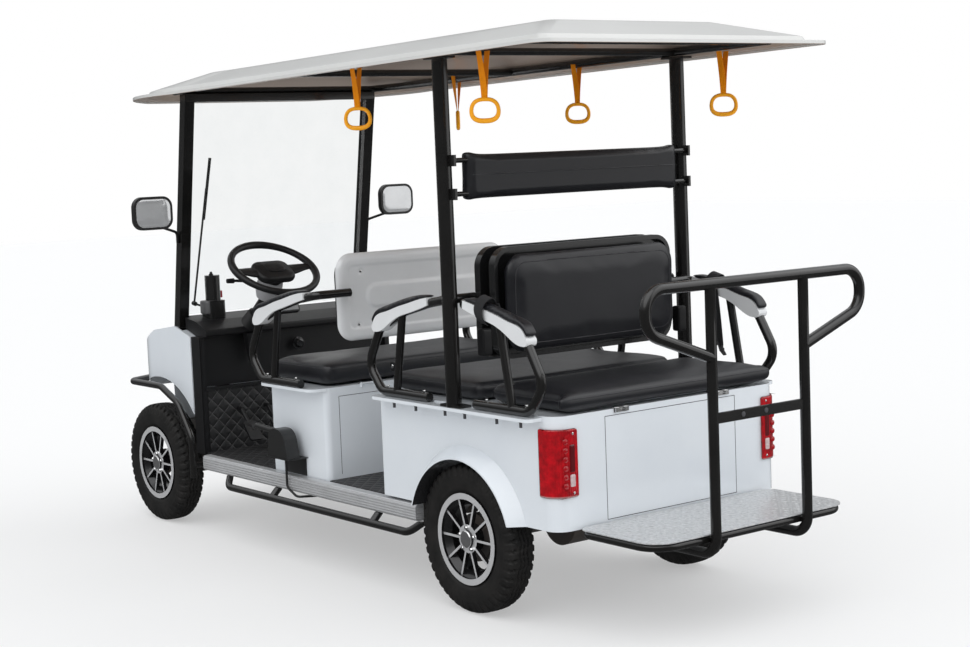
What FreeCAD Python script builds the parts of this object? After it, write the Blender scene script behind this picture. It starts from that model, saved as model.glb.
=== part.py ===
import FreeCAD, Part
import math
import os

# Six-seat electric golf cart: front bench, middle bench facing forward and rear bench facing back,
# on a ladder frame with beam axles and leaf springs. Millimetres, +X forward, +Y left, +Z up.
# Everything is laid out from the rear axle, with the ground at height zero, and moved at the end so
# that the origin lies at the bottom centre of the whole cart.

V = FreeCAD.Vector

# Whole cart
WHEELBASE = 2366.0
FRONT_OVERHANG = 300.0
REAR_OVERHANG = 942.0
FLOOR_HEIGHT = 346.0
MAT = 8.0
SEATING_GAP = 0.3
OVERRUN = 20.0

# Wheels and tyres
TYRE_RADIUS = 272.0
TYRE_WIDTH = 118.0
TYRE_SHOULDER = 16.0
TYRE_TUCK = 34.0
RIM_RADIUS = 167.0
RIM_WIDTH = 108.0
RIM_WALL = 6.0
RIM_LIP = 10.0
RIM_WELL = 128.0
SPOKE_COUNT = 10
SPOKE_WIDTH = 9.0
SPOKE_DEPTH = 16.0
RIM_HUB_RADIUS = 52.0
RIM_HUB_DEPTH = 34.0
CAP_RADIUS = 33.0
PILOT_RADIUS = 30.0
WHEEL_GAP = 0.3

# Beam axles, knuckles, steering rack and springs
AXLE_RADIUS = 26.0
KINGPIN_INSET = 90.0
KINGPIN_RADIUS = 11.0
KNUCKLE_RADIUS = 24.0
KNUCKLE_HEIGHT = 70.0
YOKE_PLATE = 14.0
YOKE_WIDTH = 60.0
SPINDLE_RADIUS = 17.0
HUB_FLANGE_RADIUS = 58.0
HUB_FLANGE = 10.0
STEER_ARM_LENGTH = 110.0
STEER_ARM_WIDTH = 26.0
STEER_ARM_THICK = 12.0
RACK_RADIUS = 8.0
RACK_HOUSING_RADIUS = 20.0
RACK_HOUSING_LENGTH = 300.0
RACK_EYE_RADIUS = 17.0
RACK_EYE_THICK = 18.0
DRUM_RADIUS = 88.0
DRUM_WIDTH = 50.0
DIFF_RADIUS = 95.0
DIFF_LENGTH = 120.0
DIFF_OFFSET = 60.0
MOTOR_RADIUS = 92.0
MOTOR_CLEAR = 35.0
SPRING_SPAN = 620.0
SPRING_FRONT_SPAN = 500.0
SPRING_WIDTH = 50.0
SPRING_LEAF = 8.0
SPRING_LEAVES = 3
SPRING_STEP_SHARE = 0.18
SPRING_HANGER = 46.0

# Ladder frame
RAIL_TUCK = 268.0
RAIL_WIDTH = 50.0
RAIL_HEIGHT = 60.0
RAIL_REAR_X = -480.0
RAIL_KICK_X = 330.0
RAIL_DROP_BACK = 356.0
RAIL_AHEAD = 174.0
OUTRIGGER = 40.0
SEAT_UPRIGHT = 40.0

# Sills, side bars and floor
SILL_REAR_X = 322.0
SILL_BACK = 426.0
SILL_PROUD = 7.0
SILL_WIDTH = 38.0
SILL_HEIGHT = 66.0
SILL_TOP = 352.0
SILL_ROUND = 14.0
SIDE_BAR_RADIUS = 15.0
SIDE_BAR_Z = 246.0
SIDE_BAR_OUT = 20.0
SIDE_BAR_REAR_X = 345.0
SIDE_BAR_BACK = 676.0
SIDE_BAR_RAKE = 45.0
SIDE_BAR_BEND = 60.0
STUB_SHARES = (0.18, 0.73)
PAN = 8.0

# Rear body
BODY_REAR_X = -497.0
BODY_FRONT_X = 540.0
BODY_HALF = 538.0
BODY_BOTTOM = 362.0
BODY_TOP = 757.0
BODY_WALL = 6.0
BODY_CORNER = 62.0
BODY_FRONT_CORNER = 14.0
ARCH_RADIUS = 292.0
FLARE_RADIUS = 338.0
FLARE_OUT = 52.0
FLARE_WALL = 6.0
WELL_DEPTH = 120.0
LIP_TOP = 752.0
LIP_THICK = 12.0
LIP_OUT = 66.0
LIP_REAR_X = -432.0
LIP_FRONT_X = 512.0
LIP_CORNER = 30.0
LOCKER_REAR_X = -440.0
LOCKER_FRONT_X = -130.0
LOCKER_TUCK = 138.0
LOCKER_CORNER = 30.0

# Front seat box
BOX_REAR_X = 972.0
BOX_FRONT_X = 1408.0
BOX_TUCK = 36.0
BOX_TOP = 728.0
BOX_CORNER = 26.0
BOX_LIP_OUT = 66.0
BOX_LIP_THICK = 12.0
BOX_RIM = 50.0
BATTERY_LENGTH = 350.0
BATTERY_HALF = 360.0
BATTERY_HEIGHT = 270.0

# Seat hinges
HINGE_Y = 300.0
HINGE_LENGTH = 60.0
HINGE_PIN = 3.0
HINGE_KNUCKLE = 5.5
HINGE_LEAF = 4.0
HINGE_BACK = 6.0
HINGE_RISE = 3.0
LID_HINGE_AHEAD = 8.0
LID_HINGE_RISE = 8.0

# Cushions and backrests
CUSHION_TUCK = 40.0
CUSHION_THICK = 90.0
CUSHION_CORNER = 40.0
CUSHION_EDGE = 14.0
FRONT_CUSHION_X = 978.0
CUSHION_DEPTH = 440.0
CUSHION_BASE = 12.0
MID_CUSHION_REAR_X = -22.0
MID_CUSHION_FRONT_X = 552.0
REAR_CUSHION_FRONT_X = -58.0
REAR_CUSHION_REAR_X = -520.0
REAR_WING_X = -482.0
REAR_WING_TUCK = 2.0
REAR_CUSHION_THICK = 82.0
BACK_TUCK = 108.0
BACK_BOTTOM = 908.0
BACK_HEIGHT = 354.0
REAR_BACK_HEIGHT = 402.0
BACK_CORNER = 72.0
PAD_THICK = 55.0
SHELL_THICK = 32.0
SHELL_WALL = 6.0
PAD_INSET = 12.0
FRAME_WALL = 16.0
FRONT_SHELL_X = 940.0
MID_SHELL_X = 22.0
REAR_SHELL_X = -62.0
RIB_HEIGHT = 104.0
RIB_INSET = 140.0
ROLL_X = -11.0
ROLL_TUCK = 18.0
ROLL_BOTTOM = 1474.0
ROLL_TOP = 1656.0
ROLL_THICK = 64.0
ROLL_ROD_RADIUS = 9.0
LUG = 10.0

# Armrests: a bench's tube is drawn as distance along from its start and rise over its start
ARM_PROUD = 22.0
ARM_RADIUS = 17.0
ARM_ROWS_X = (1061.0, 181.0, -95.0)
ARM_BASE = 300.0
ARM_BASE_BEND = 60.0
ARM_NOSE = 382.0
ARM_NOSE_RISE = 95.0
ARM_NOSE_BEND = 70.0
ARM_KNEE = 296.0
ARM_KNEE_RISE = 238.0
ARM_KNEE_BEND = 60.0
ARM_MID = 140.0
ARM_MID_RISE = 305.0
ARM_MID_BEND = 200.0
ARM_TAIL = -20.0
ARM_TAIL_RISE = 345.0
ARM_BACK_RISE = (364.0, 362.0, 352.0)
ARM_BACK_BEND = 30.0
ARM_SIDE_STEP = 6.0
ARM_END_INSET = 34.0
ARM_UPRIGHT_TOP = 150.0
ARM_UPRIGHT_FOOT = 205.0
ARM_UPRIGHT_RADIUS = 15.0

# Armrest pads: distances along the tube, and how far the trim's foot, the seam and the pad's top lie over
# the tube's centre line there; the last distance differs from bench to bench
PAD_STATIONS = (305.0, 270.0, 215.0, 150.0, 80.0, 20.0)
PAD_TAILS = (-80.0, -36.0, -30.0)
TRIM_LOW = (-10.0, -19.0, -14.0, -12.0, -13.0, -12.0, -8.0)
PAD_SEAM = (25.0, 42.0, 34.0, 25.0, 22.0, 22.0, 20.0)
PAD_TOP = (45.0, 62.0, 52.0, 41.0, 36.0, 36.0, 28.0)
PAD_WIDTH = 52.0
TRIM_WIDTH = 45.0
NOSE_SHARE = 0.4

# Posts, roof frame and roof
POST_X = 16.0
POST_PROUD = 35.0
POST_RADIUS = 28.0
POST_LEAN = 7.0
POST_PLATE = 8.0
POST_PLATE_LENGTH = 124.0
POST_PLATE_WIDTH = 56.0
ROOF_TUBE_PROUD = 22.0
ROOF_TUBE_RADIUS = 16.0
ROOF_CROSS_RADIUS = 14.0
ROOF_TUBE_REAR_X = -480.0
ROOF_TUBE_TURN_BACK = 626.0
ROOF_TUBE_FRONT_OUT = 35.0
ROOF_TUBE_BEND = 240.0
FRONT_POST_TUCK = 57.0
FRONT_POST_SIZE = 48.0
FRONT_FOOT_BACK = 147.0
FRONT_FOOT_Z = 743.0
FRONT_TOP_BACK = 343.0
FRONT_TOP_Z = 1926.0
FRONT_BEAM_Z = 715.0
FRONT_BEAM_HEIGHT = 40.0
SCREEN_THICK = 5.0
SCREEN_BASE_Z = 962.0
ROOF_REAR_X = -668.0
ROOF_AHEAD = 106.0
ROOF_STRAIGHT_BACK = 566.0
ROOF_EAVE = 152.0
ROOF_REAR_RIM = 1990.0
ROOF_FRONT_RIM = 1924.0
ROOF_FLANGE = 14.0
ROOF_SHOULDER_INSET = 50.0
ROOF_SHOULDER_RUN = 18.0
ROOF_SHOULDER = 34.0
ROOF_DOME_RUN = 232.0
ROOF_DOME = 104.0
ROOF_CROWN_RUN = 220.0
ROOF_CROWN = 122.0
ROOF_WALL = 5.0
ROOF_REAR_CORNER = 62.0
ROOF_LEAST_CORNER = 30.0
ROOF_CORNER_DEPTH = 250.0

# Cowl, dash and front guard
COWL_TUCK = 24.0
COWL_REAR_BACK = 308.0
COWL_REAR_TOP = 872.0
COWL_PEAK_BACK = 166.0
COWL_PEAK_TOP = 912.0
COWL_HOOD_AHEAD = 34.0
COWL_HOOD_TOP = 884.0
COWL_BROW_AHEAD = 134.0
COWL_BROW_TOP = 832.0
COWL_NOSE_AHEAD = 224.0
COWL_NOSE_TOP = 672.0
COWL_CHIN_AHEAD = 209.0
COWL_CHIN = 420.0
COWL_WALL = 6.0
COWL_SIDE_ROUND = 52.0
COWL_CORNER = 150.0
COWL_ARCH_RADIUS = 396.0
COWL_WELL = 184.0
LAMP_RADIUS = 66.0
LAMP_TUCK = 184.0
LAMP_Z = 730.0
LAMP_DEPTH = 40.0
FIREWALL_BACK = 379.0
FIREWALL = 8.0
FIREWALL_TOP = 645.0
KICK_INNER_TUCK = 32.0
KICK_OUTER_TUCK = 2.0
DASH_TUCK = 28.0
DASH_LIP_BACK = 410.0
DASH_LIP_LOW = 872.0
DASH_LIP_TOP = 902.0
DASH_TOP_BACK = 316.0
DASH_TOP = 938.0
DASH_FRONT_BACK = 194.0
DASH_FRONT_TOP = 956.0
DASH_FACE_BACK = 364.0
DASH_ROUND = 12.0
GUARD_RADIUS = 15.0
GUARD_PROUD = 34.0
GUARD_CLEAR = 112.0
GUARD_FOOT_Z = 250.0
GUARD_FRONT_Z = 640.0
GUARD_AHEAD = 174.0
GUARD_RISE_SHARE = 0.42
GUARD_HIP_SHARE = 1.12
GUARD_CROWN_SHARE = 0.3
GUARD_NOSE_TUCK = 242.0

# Steering wheel, column and pedals
WHEEL_BACK = 638.0
WHEEL_Y = 258.0
WHEEL_Z = 1171.0
WHEEL_TILT = 31.0
WHEEL_RADIUS = 192.0
WHEEL_GRIP = 17.0
WHEEL_BOSS = 140.0
WHEEL_BOSS_WIDTH = 180.0
WHEEL_BOSS_CORNER = 44.0
WHEEL_BOSS_DEPTH = 46.0
WHEEL_SPOKE = 40.0
WHEEL_SPOKE_THICK = 12.0
COLUMN_RADIUS = 26.0
COLUMN_ELBOW = 110.0
COLUMN_BEND = 120.0
COLUMN_FOOT_BACK = 330.0
COLUMN_FOOT_Z = 857.0
COLUMN_GAP = 0.5
SHROUD_TOP = 50.0
SHROUD_FOOT = 34.0
SHROUD_LENGTH = 110.0
PEDAL_WIDTH = 64.0
PEDAL_HEIGHT = 100.0
PEDAL_THICK = 12.0
PEDAL_TUCKS = (322.0, 182.0)
PEDAL_STEM = 9.0
PEDAL_REACH = 120.0
PEDAL_RISE = 90.0
PEDAL_TILT = 50.0

# Wiper, mirrors and grab handles
WIPER_TUCK = 71.0
WIPER_BASE_Z = 1005.0
WIPER_LEAN = 56.0
WIPER_LENGTH = 670.0
WIPER_ARM = 9.0
WIPER_BLADE_SHARE = 0.42
WIPER_BLADE = 14.0
WIPER_PIVOT_RADIUS = 10.0
WIPER_PIVOT_LENGTH = 22.0
WIPER_MOTOR_RADIUS = 34.0
WIPER_MOTOR_TOP = 1136.0
WIPER_MOTOR_BACK = 74.0
WIPER_MOTOR_INSET = 50.0
WIPER_GEAR = 84.0
WIPER_GEAR_TOP = 1022.0
WIPER_SEAL = 3.0
MIRROR_BACK = 301.0
MIRROR_OUT = 174.0
MIRROR_Z = 1432.0
MIRROR_WIDTH = 188.0
MIRROR_HEIGHT = 146.0
MIRROR_DEPTH = 26.0
MIRROR_CORNER = 46.0
MIRROR_STALK = 6.0
MIRROR_CLAMP_Z = 1290.0
HANDLES = ((565.0, 1, 45.0), (-210.0, 1, 55.0), (1425.0, -1, -38.0), (600.0, -1, 60.0), (-240.0, -1, 50.0))
HANDLE_WIDTH = 110.0
HANDLE_HEIGHT = 90.0
HANDLE_THICK = 15.0
HANDLE_Z = 1792.0
STRAP_WIDTH = 26.0
STRAP_THICK = 5.0

# Tail lamps, step and grab hoop
TAIL_WIDTH = 89.0
TAIL_SIDE_X = -412.0
TAIL_BOTTOM = 478.0
TAIL_TOP = 713.0
TAIL_STAND = 9.0
STEP_FRONT_X = -512.0
STEP_REAR_X = -902.0
STEP_TUCK = 68.0
STEP_TOP = 372.0
STEP_PLATE = 4.0
STEP_CORNER = 90.0
STEP_TUBE_RADIUS = 14.0
HOOP_RADIUS = 19.0
HOOP_UPRIGHT_RADIUS = 18.0
HOOP_INSET = 49.0
HOOP_TOP = 1199.0
HOOP_BEND = 73.0
HOOP_TUCK = 28.0
HOOP_ELBOW_Z = 1062.0
HOOP_ELBOW_BEND = 78.0
HOOP_JOIN_Z = 957.0
HOOP_FOOT_Z = 304.0
HOOP_BAR_Z = 756.0
HOOP_BAR_HEIGHT = 34.0
HOOP_BAR_THICK = 14.0
HOOP_FOOT_BEND = 60.0

# Parking brake
BRAKE_X = 1215.0
BRAKE_LENGTH = 150.0
BRAKE_HEIGHT = 118.0
BRAKE_WIDTH = 62.0
BRAKE_BASE_Z = 432.0
BRAKE_PLATE = 4.0
BRAKE_PLATE_OUT = 96.0
BRAKE_GRIP_RADIUS = 13.0
BRAKE_GRIP_LENGTH = 130.0
BRAKE_GRIP_DROP = 21.0
BRAKE_TOP_FRONT = 0.85
BRAKE_TOP_REAR = 0.6
BRAKE_ROUND_FRONT = 0.55
BRAKE_ROUND_REAR = 0.8
CABLE_RADIUS = 5.0

# Places that follow from the body's width and the front axle
RAIL_Y = BODY_HALF - RAIL_TUCK
SILL_OUTER_Y = BODY_HALF + SILL_PROUD
BOX_HALF = BODY_HALF - BOX_TUCK
CUSHION_HALF = BODY_HALF - CUSHION_TUCK
REAR_WING_HALF = BODY_HALF - REAR_WING_TUCK
BACK_HALF = BODY_HALF - BACK_TUCK
ROLL_HALF = BODY_HALF - ROLL_TUCK
ARM_Y = BODY_HALF + ARM_PROUD
POST_Y = BODY_HALF + POST_PROUD
ROOF_TUBE_Y = BODY_HALF + ROOF_TUBE_PROUD
FRONT_POST_Y = BODY_HALF - FRONT_POST_TUCK
ROOF_TUBE_FRONT_Y = FRONT_POST_Y + ROOF_TUBE_FRONT_OUT
ROOF_HALF = BODY_HALF + ROOF_EAVE
COWL_HALF = BODY_HALF - COWL_TUCK
COWL_WELL_Y = COWL_HALF - COWL_WELL
LAMP_Y = COWL_HALF - LAMP_TUCK
KICK_INNER_Y = COWL_HALF - KICK_INNER_TUCK
KICK_OUTER_Y = COWL_HALF - KICK_OUTER_TUCK
PEDAL_Y = [KICK_OUTER_Y - tuck for tuck in PEDAL_TUCKS]
DASH_HALF = COWL_HALF - DASH_TUCK
GUARD_Y = BODY_HALF + GUARD_PROUD
GUARD_NOSE_HALF = GUARD_Y - GUARD_NOSE_TUCK
WIPER_Y = FRONT_POST_Y - WIPER_TUCK
WIPER_TIP_Y = WIPER_Y - WIPER_LEAN
MIRROR_Y = FRONT_POST_Y + MIRROR_OUT
TAIL_INNER_Y = BODY_HALF - TAIL_WIDTH
STEP_HALF = BODY_HALF - STEP_TUCK
HOOP_REACH = BODY_HALF - HOOP_TUCK
HOOP_Y = RAIL_Y - HOOP_INSET
LOCKER_HALF = BODY_HALF - LOCKER_TUCK
RAIL_DROP_X = WHEELBASE - RAIL_DROP_BACK
RAIL_FRONT_X = WHEELBASE + RAIL_AHEAD
SILL_FRONT_X = WHEELBASE - SILL_BACK
SIDE_BAR_FRONT_X = WHEELBASE - SIDE_BAR_BACK
FRONT_FOOT_X = WHEELBASE - FRONT_FOOT_BACK
FRONT_TOP_X = WHEELBASE - FRONT_TOP_BACK
ROOF_FRONT_X = WHEELBASE + ROOF_AHEAD
ROOF_STRAIGHT_X = WHEELBASE - ROOF_STRAIGHT_BACK
ROOF_TUBE_TURN_X = WHEELBASE - ROOF_TUBE_TURN_BACK
COWL_REAR_X = WHEELBASE - COWL_REAR_BACK
COWL_PEAK_X = WHEELBASE - COWL_PEAK_BACK
COWL_HOOD_X = WHEELBASE + COWL_HOOD_AHEAD
COWL_BROW_X = WHEELBASE + COWL_BROW_AHEAD
COWL_NOSE_X = WHEELBASE + COWL_NOSE_AHEAD
COWL_CHIN_X = WHEELBASE + COWL_CHIN_AHEAD
FIREWALL_X = WHEELBASE - FIREWALL_BACK
DASH_LIP_X = WHEELBASE - DASH_LIP_BACK
DASH_TOP_X = WHEELBASE - DASH_TOP_BACK
DASH_FRONT_X = WHEELBASE - DASH_FRONT_BACK
DASH_FACE_X = WHEELBASE - DASH_FACE_BACK
GUARD_CORNER_X = WHEELBASE + GUARD_AHEAD
WHEEL_X = WHEELBASE - WHEEL_BACK
MIRROR_X = WHEELBASE - MIRROR_BACK

# Other derived places
ORIGIN_X = (WHEELBASE + FRONT_OVERHANG - REAR_OVERHANG) / 2
MOTOR_LENGTH = RAIL_Y - SPRING_WIDTH / 2 - MOTOR_CLEAR
AXLE_Z = TYRE_RADIUS
TYRE_Y = BODY_HALF - TYRE_TUCK
RIM_FACE_Y = TYRE_Y + RIM_WIDTH / 2
KINGPIN_Y = TYRE_Y - KINGPIN_INSET
RAIL_LOW = FLOOR_HEIGHT - PAN - RAIL_HEIGHT
RAIL_HIGH = AXLE_Z + AXLE_RADIUS + SPRING_LEAVES * SPRING_LEAF + SPRING_HANGER
MAT_TOP = FLOOR_HEIGHT + MAT
HOOP_X = -REAR_OVERHANG + HOOP_RADIUS
ROD_X = ROLL_X - ROLL_ROD_RADIUS
ROD_HEIGHTS = (ROLL_BOTTOM + ROLL_THICK / 2, ROLL_TOP - ROLL_THICK / 2)
FRONT_SEAT_Z = BOX_TOP + SEATING_GAP
REAR_SEAT_Z = BODY_TOP + SEATING_GAP
FRONT_HINGE = (BOX_REAR_X - HINGE_BACK, BOX_TOP + HINGE_RISE)
REAR_HINGE = (REAR_CUSHION_FRONT_X + LID_HINGE_AHEAD, BODY_TOP + LID_HINGE_RISE)


def box(x, y, z):
    """A block between two limits on each axis."""
    return Part.makeBox(x[1] - x[0], y[1] - y[0], z[1] - z[0], V(x[0], y[0], z[0]))


def cylinder(start, end, radius):
    """A round bar from one point to another."""
    run = V(*end) - V(*start)
    return Part.makeCylinder(radius, run.Length, V(*start), run)


def fuse(shapes):
    """One solid from pieces that meet."""
    shapes = list(shapes)
    return shapes[0].multiFuse(shapes[1:]).removeSplitter()


def both_sides(shape):
    """The left-hand piece and its mirror image on the right."""
    return [shape, shape.mirror(V(0, 0, 0), V(0, 1, 0))]


def corner(before, point, after, radius):
    """The tangent points, middle and centre of the arc that rounds one corner."""
    a = (before - point).normalize()
    b = (after - point).normalize()
    half = a.getAngle(b) / 2
    centre = point + (a + b).normalize() * (radius / math.sin(half))
    reach = radius / math.tan(half)
    middle = centre + (point - centre).normalize() * radius
    return point + a * reach, middle, point + b * reach, centre


def rounded_path(points, radii, closed=False):
    """Runs and arcs through the points, as (start, end) and (start, middle, end, centre)."""
    points = [V(*p) for p in points]
    count = len(points)
    if not hasattr(radii, "__len__"):
        radii = [radii] * count
    pieces = []
    last = None
    first = None
    for i, point in enumerate(points):
        inner = closed or 0 < i < count - 1
        if inner and radii[i] > 0:
            arc = corner(points[i - 1], point, points[(i + 1) % count], radii[i])
        else:
            arc = None
        start = arc[0] if arc else point
        if last is not None and (start - last).Length > SEATING_GAP / 100:
            pieces.append((last, start))
        if first is None:
            first = start
        if arc:
            pieces.append(arc)
        last = arc[2] if arc else point
    if closed and (first - last).Length > SEATING_GAP / 100:
        pieces.append((last, first))
    return pieces


def outline(points, radii=0):
    """A flat face inside a closed outline with rounded corners."""
    edges = []
    for piece in rounded_path(points, radii, closed=True):
        if len(piece) == 2:
            edges.append(Part.makeLine(piece[0], piece[1]))
        else:
            edges.append(Part.Arc(piece[0], piece[1], piece[2]).toShape())
    return Part.Face(Part.Wire(edges))


def slab(x, y, z, radius):
    """A block with its upright edges rounded; one radius, or one for each corner."""
    points = [(x[0], y[0], z[0]), (x[1], y[0], z[0]), (x[1], y[1], z[0]), (x[0], y[1], z[0])]
    return outline(points, radius).extrude(V(0, 0, z[1] - z[0]))


def tube(points, bends, radius, closed=False):
    """A round tube along straight runs joined by tangent bends."""
    solids = []
    for piece in rounded_path(points, bends, closed):
        if len(piece) == 2:
            solids.append(cylinder(piece[0], piece[1], radius))
            continue
        start, middle, end, centre = piece
        axis = (start - centre).cross(end - centre).normalize()
        turn = math.degrees((start - centre).getAngle(end - centre))
        along = axis.cross(start - centre)
        disc = Part.Face(Part.Wire(Part.makeCircle(radius, start, along)))
        solids.append(disc.revolve(centre, axis, turn))
    return fuse(solids)


def along_y(points, radii, y):
    """A profile of (x, z) points carried across from one y to another."""
    return outline([(px, y[0], pz) for px, pz in points], radii).extrude(V(0, y[1] - y[0], 0))


def spun(points, axle, y):
    """A profile of (radius, y) points turned about a wheel's axle."""
    face = outline([(axle, py, AXLE_Z + pr) for pr, py in points])
    return face.revolve(V(axle, y, AXLE_Z), V(0, 1, 0), 360)


def post_x(z):
    """Where the raked front posts' centre line is at a height."""
    share = (z - FRONT_FOOT_Z) / (FRONT_TOP_Z - FRONT_FOOT_Z)
    return FRONT_FOOT_X + (FRONT_TOP_X - FRONT_FOOT_X) * share


def roof_z(x):
    """Height of the roof's lower rim, which climbs evenly to the rear."""
    share = (x - ROOF_REAR_X) / (ROOF_FRONT_X - ROOF_REAR_X)
    return ROOF_REAR_RIM + (ROOF_FRONT_RIM - ROOF_REAR_RIM) * share


# Wheels
def make_tyre(axle):
    """A road tyre as a ring: bead, bulged side, square shoulder and flat crown."""
    half = TYRE_WIDTH / 2
    bead = RIM_WIDTH / 2 - RIM_LIP - WHEEL_GAP
    inner = RIM_RADIUS - RIM_LIP - RIM_WALL
    side = RIM_RADIUS + (TYRE_RADIUS - RIM_RADIUS) / 2
    near, far = RIM_RADIUS + WHEEL_GAP, TYRE_RADIUS
    right = [(inner, bead), (near, bead), (side, half), (far - TYRE_SHOULDER, half - TYRE_SHOULDER / 4),
             (far, half - TYRE_SHOULDER)]
    left = [(r, -y) for r, y in reversed(right)]
    return spun([(r, TYRE_Y + y) for r, y in right + left], axle, TYRE_Y)


def make_rim(axle):
    """A dished alloy wheel: barrel with lips, slim spokes from the outer lip to a bored hub."""
    half = RIM_WIDTH / 2
    bed = RIM_RADIUS - RIM_LIP - RIM_WALL - WHEEL_GAP
    seat = half - RIM_LIP
    outer = [(RIM_RADIUS, half), (RIM_RADIUS, seat), (bed, seat), (RIM_WELL, seat / 2)]
    inner = [(RIM_WELL - RIM_WALL, seat / 2), (bed - RIM_WALL, seat), (bed - RIM_WALL, half)]
    profile = [(r, -y) for r, y in outer] + outer[::-1] + inner[::-1] + [(r, -y) for r, y in inner]
    barrel = spun([(r, TYRE_Y + y) for r, y in profile], axle, TYRE_Y)
    face = RIM_FACE_Y - RIM_LIP
    pieces = [barrel, cylinder((axle, face - RIM_HUB_DEPTH, AXLE_Z), (axle, face, AXLE_Z), RIM_HUB_RADIUS)]
    pieces.append(cylinder((axle, face, AXLE_Z), (axle, RIM_FACE_Y, AXLE_Z), CAP_RADIUS))
    for i in range(SPOKE_COUNT):
        bar = box((axle + RIM_HUB_RADIUS - RIM_WALL, axle + bed - RIM_WALL / 2), (face - SPOKE_DEPTH, face),
                  (AXLE_Z - SPOKE_WIDTH / 2, AXLE_Z + SPOKE_WIDTH / 2))
        pieces.append(bar.rotate(V(axle, 0, AXLE_Z), V(0, 1, 0), 360 * i / SPOKE_COUNT))
    pilot = cylinder((axle, face - RIM_HUB_DEPTH - OVERRUN, AXLE_Z), (axle, face - RIM_WALL, AXLE_Z),
                     PILOT_RADIUS)
    return fuse(pieces).cut(pilot)


# Axles, steering and springs
def hub_end():
    """Where a hub flange's outer face meets the wheel's mounting pad."""
    return RIM_FACE_Y - RIM_LIP - RIM_HUB_DEPTH - WHEEL_GAP


def make_knuckle():
    """Left knuckle: kingpin barrel, spindle with hub flange and pilot, and a steering arm to the rear."""
    x, y = WHEELBASE, KINGPIN_Y
    half = KNUCKLE_HEIGHT / 2
    flange = hub_end()
    pieces = [cylinder((x, y, AXLE_Z - half), (x, y, AXLE_Z + half), KNUCKLE_RADIUS),
              cylinder((x, y, AXLE_Z), (x, flange, AXLE_Z), SPINDLE_RADIUS),
              cylinder((x, flange - HUB_FLANGE, AXLE_Z), (x, flange, AXLE_Z), HUB_FLANGE_RADIUS),
              cylinder((x, flange, AXLE_Z), (x, flange + RIM_HUB_DEPTH / 2, AXLE_Z),
                       PILOT_RADIUS - WHEEL_GAP)]
    low = AXLE_Z - half
    pieces.append(slab((x - STEER_ARM_LENGTH - STEER_ARM_WIDTH / 2, x), (y - STEER_ARM_WIDTH / 2,
                  y + STEER_ARM_WIDTH / 2), (low, low + STEER_ARM_THICK), STEER_ARM_WIDTH / 2 - SEATING_GAP))
    bore = cylinder((x, y, low - OVERRUN), (x, y, AXLE_Z + half + OVERRUN), KINGPIN_RADIUS + WHEEL_GAP)
    return fuse(pieces).cut(bore)


def make_front_axle():
    """Beam axle with a yoke, kingpin and spring pad at each end, and the rack's housing behind it."""
    x, y = WHEELBASE, KINGPIN_Y
    half = KNUCKLE_HEIGHT / 2
    beam_end = y - KNUCKLE_RADIUS - STEER_ARM_WIDTH
    pieces = [cylinder((x, -beam_end, AXLE_Z), (x, beam_end, AXLE_Z), AXLE_RADIUS)]
    top = half + WHEEL_GAP
    wide = YOKE_WIDTH / 2
    for side in (1, -1):
        ends = sorted((side * (beam_end - YOKE_PLATE), side * (y + KNUCKLE_RADIUS)))
        web = sorted((side * (beam_end - YOKE_PLATE), side * beam_end))
        tall = top + YOKE_PLATE
        pieces.append(box((x - wide, x + wide), web, (AXLE_Z - tall, AXLE_Z + tall)))
        for low, high in ((-tall, -top), (top, tall)):
            pieces.append(box((x - wide, x + wide), ends, (AXLE_Z + low, AXLE_Z + high)))
        pieces.append(cylinder((x, side * y, AXLE_Z - tall), (x, side * y, AXLE_Z + tall), KINGPIN_RADIUS))
    rack_x = x - STEER_ARM_LENGTH
    z = rack_z()
    reach = RACK_HOUSING_LENGTH / 2
    pieces.append(cylinder((rack_x, -reach, z), (rack_x, reach, z), RACK_HOUSING_RADIUS))
    for side in (1, -1):
        across = sorted((side * reach * 2 / 3, side * reach / 3))
        pieces.append(box((rack_x, x), across, (AXLE_Z - AXLE_RADIUS, AXLE_Z)))
        pieces.append(box((rack_x - RACK_HOUSING_RADIUS, rack_x + RACK_HOUSING_RADIUS), across, (z, AXLE_Z)))
    bore = cylinder((rack_x, -reach - OVERRUN, z), (rack_x, reach + OVERRUN, z), RACK_RADIUS + WHEEL_GAP)
    return fuse(pieces).cut(bore)


def rack_z():
    """Height of the rack, whose eyes run just under the steering arms."""
    return AXLE_Z - KNUCKLE_HEIGHT / 2 - WHEEL_GAP - RACK_EYE_THICK / 2


def make_rack():
    """Rack bar and track rods in one length, with a flat eye under each steering arm."""
    x, z = WHEELBASE - STEER_ARM_LENGTH, rack_z()
    half = RACK_EYE_THICK / 2
    pieces = [cylinder((x, -KINGPIN_Y, z), (x, KINGPIN_Y, z), RACK_RADIUS)]
    for side in (1, -1):
        pieces.append(cylinder((x, side * KINGPIN_Y, z - half), (x, side * KINGPIN_Y, z + half),
                               RACK_EYE_RADIUS))
    return fuse(pieces)


def make_rear_axle():
    """Axle tube with the gear case, a brake drum at each end and the hub flange and pilot outside it."""
    flange = hub_end()
    drum = flange - DRUM_WIDTH
    pieces = [cylinder((0, -drum, AXLE_Z), (0, drum, AXLE_Z), AXLE_RADIUS),
              cylinder((0, DIFF_OFFSET - DIFF_LENGTH / 2, AXLE_Z),
                       (0, DIFF_OFFSET + DIFF_LENGTH / 2, AXLE_Z), DIFF_RADIUS)]
    for side in (1, -1):
        pieces.append(cylinder((0, side * drum, AXLE_Z), (0, side * flange, AXLE_Z), DRUM_RADIUS))
        pieces.append(cylinder((0, side * flange, AXLE_Z), (0, side * (flange + RIM_HUB_DEPTH / 2), AXLE_Z),
                               PILOT_RADIUS - WHEEL_GAP))
    return fuse(pieces)


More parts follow.
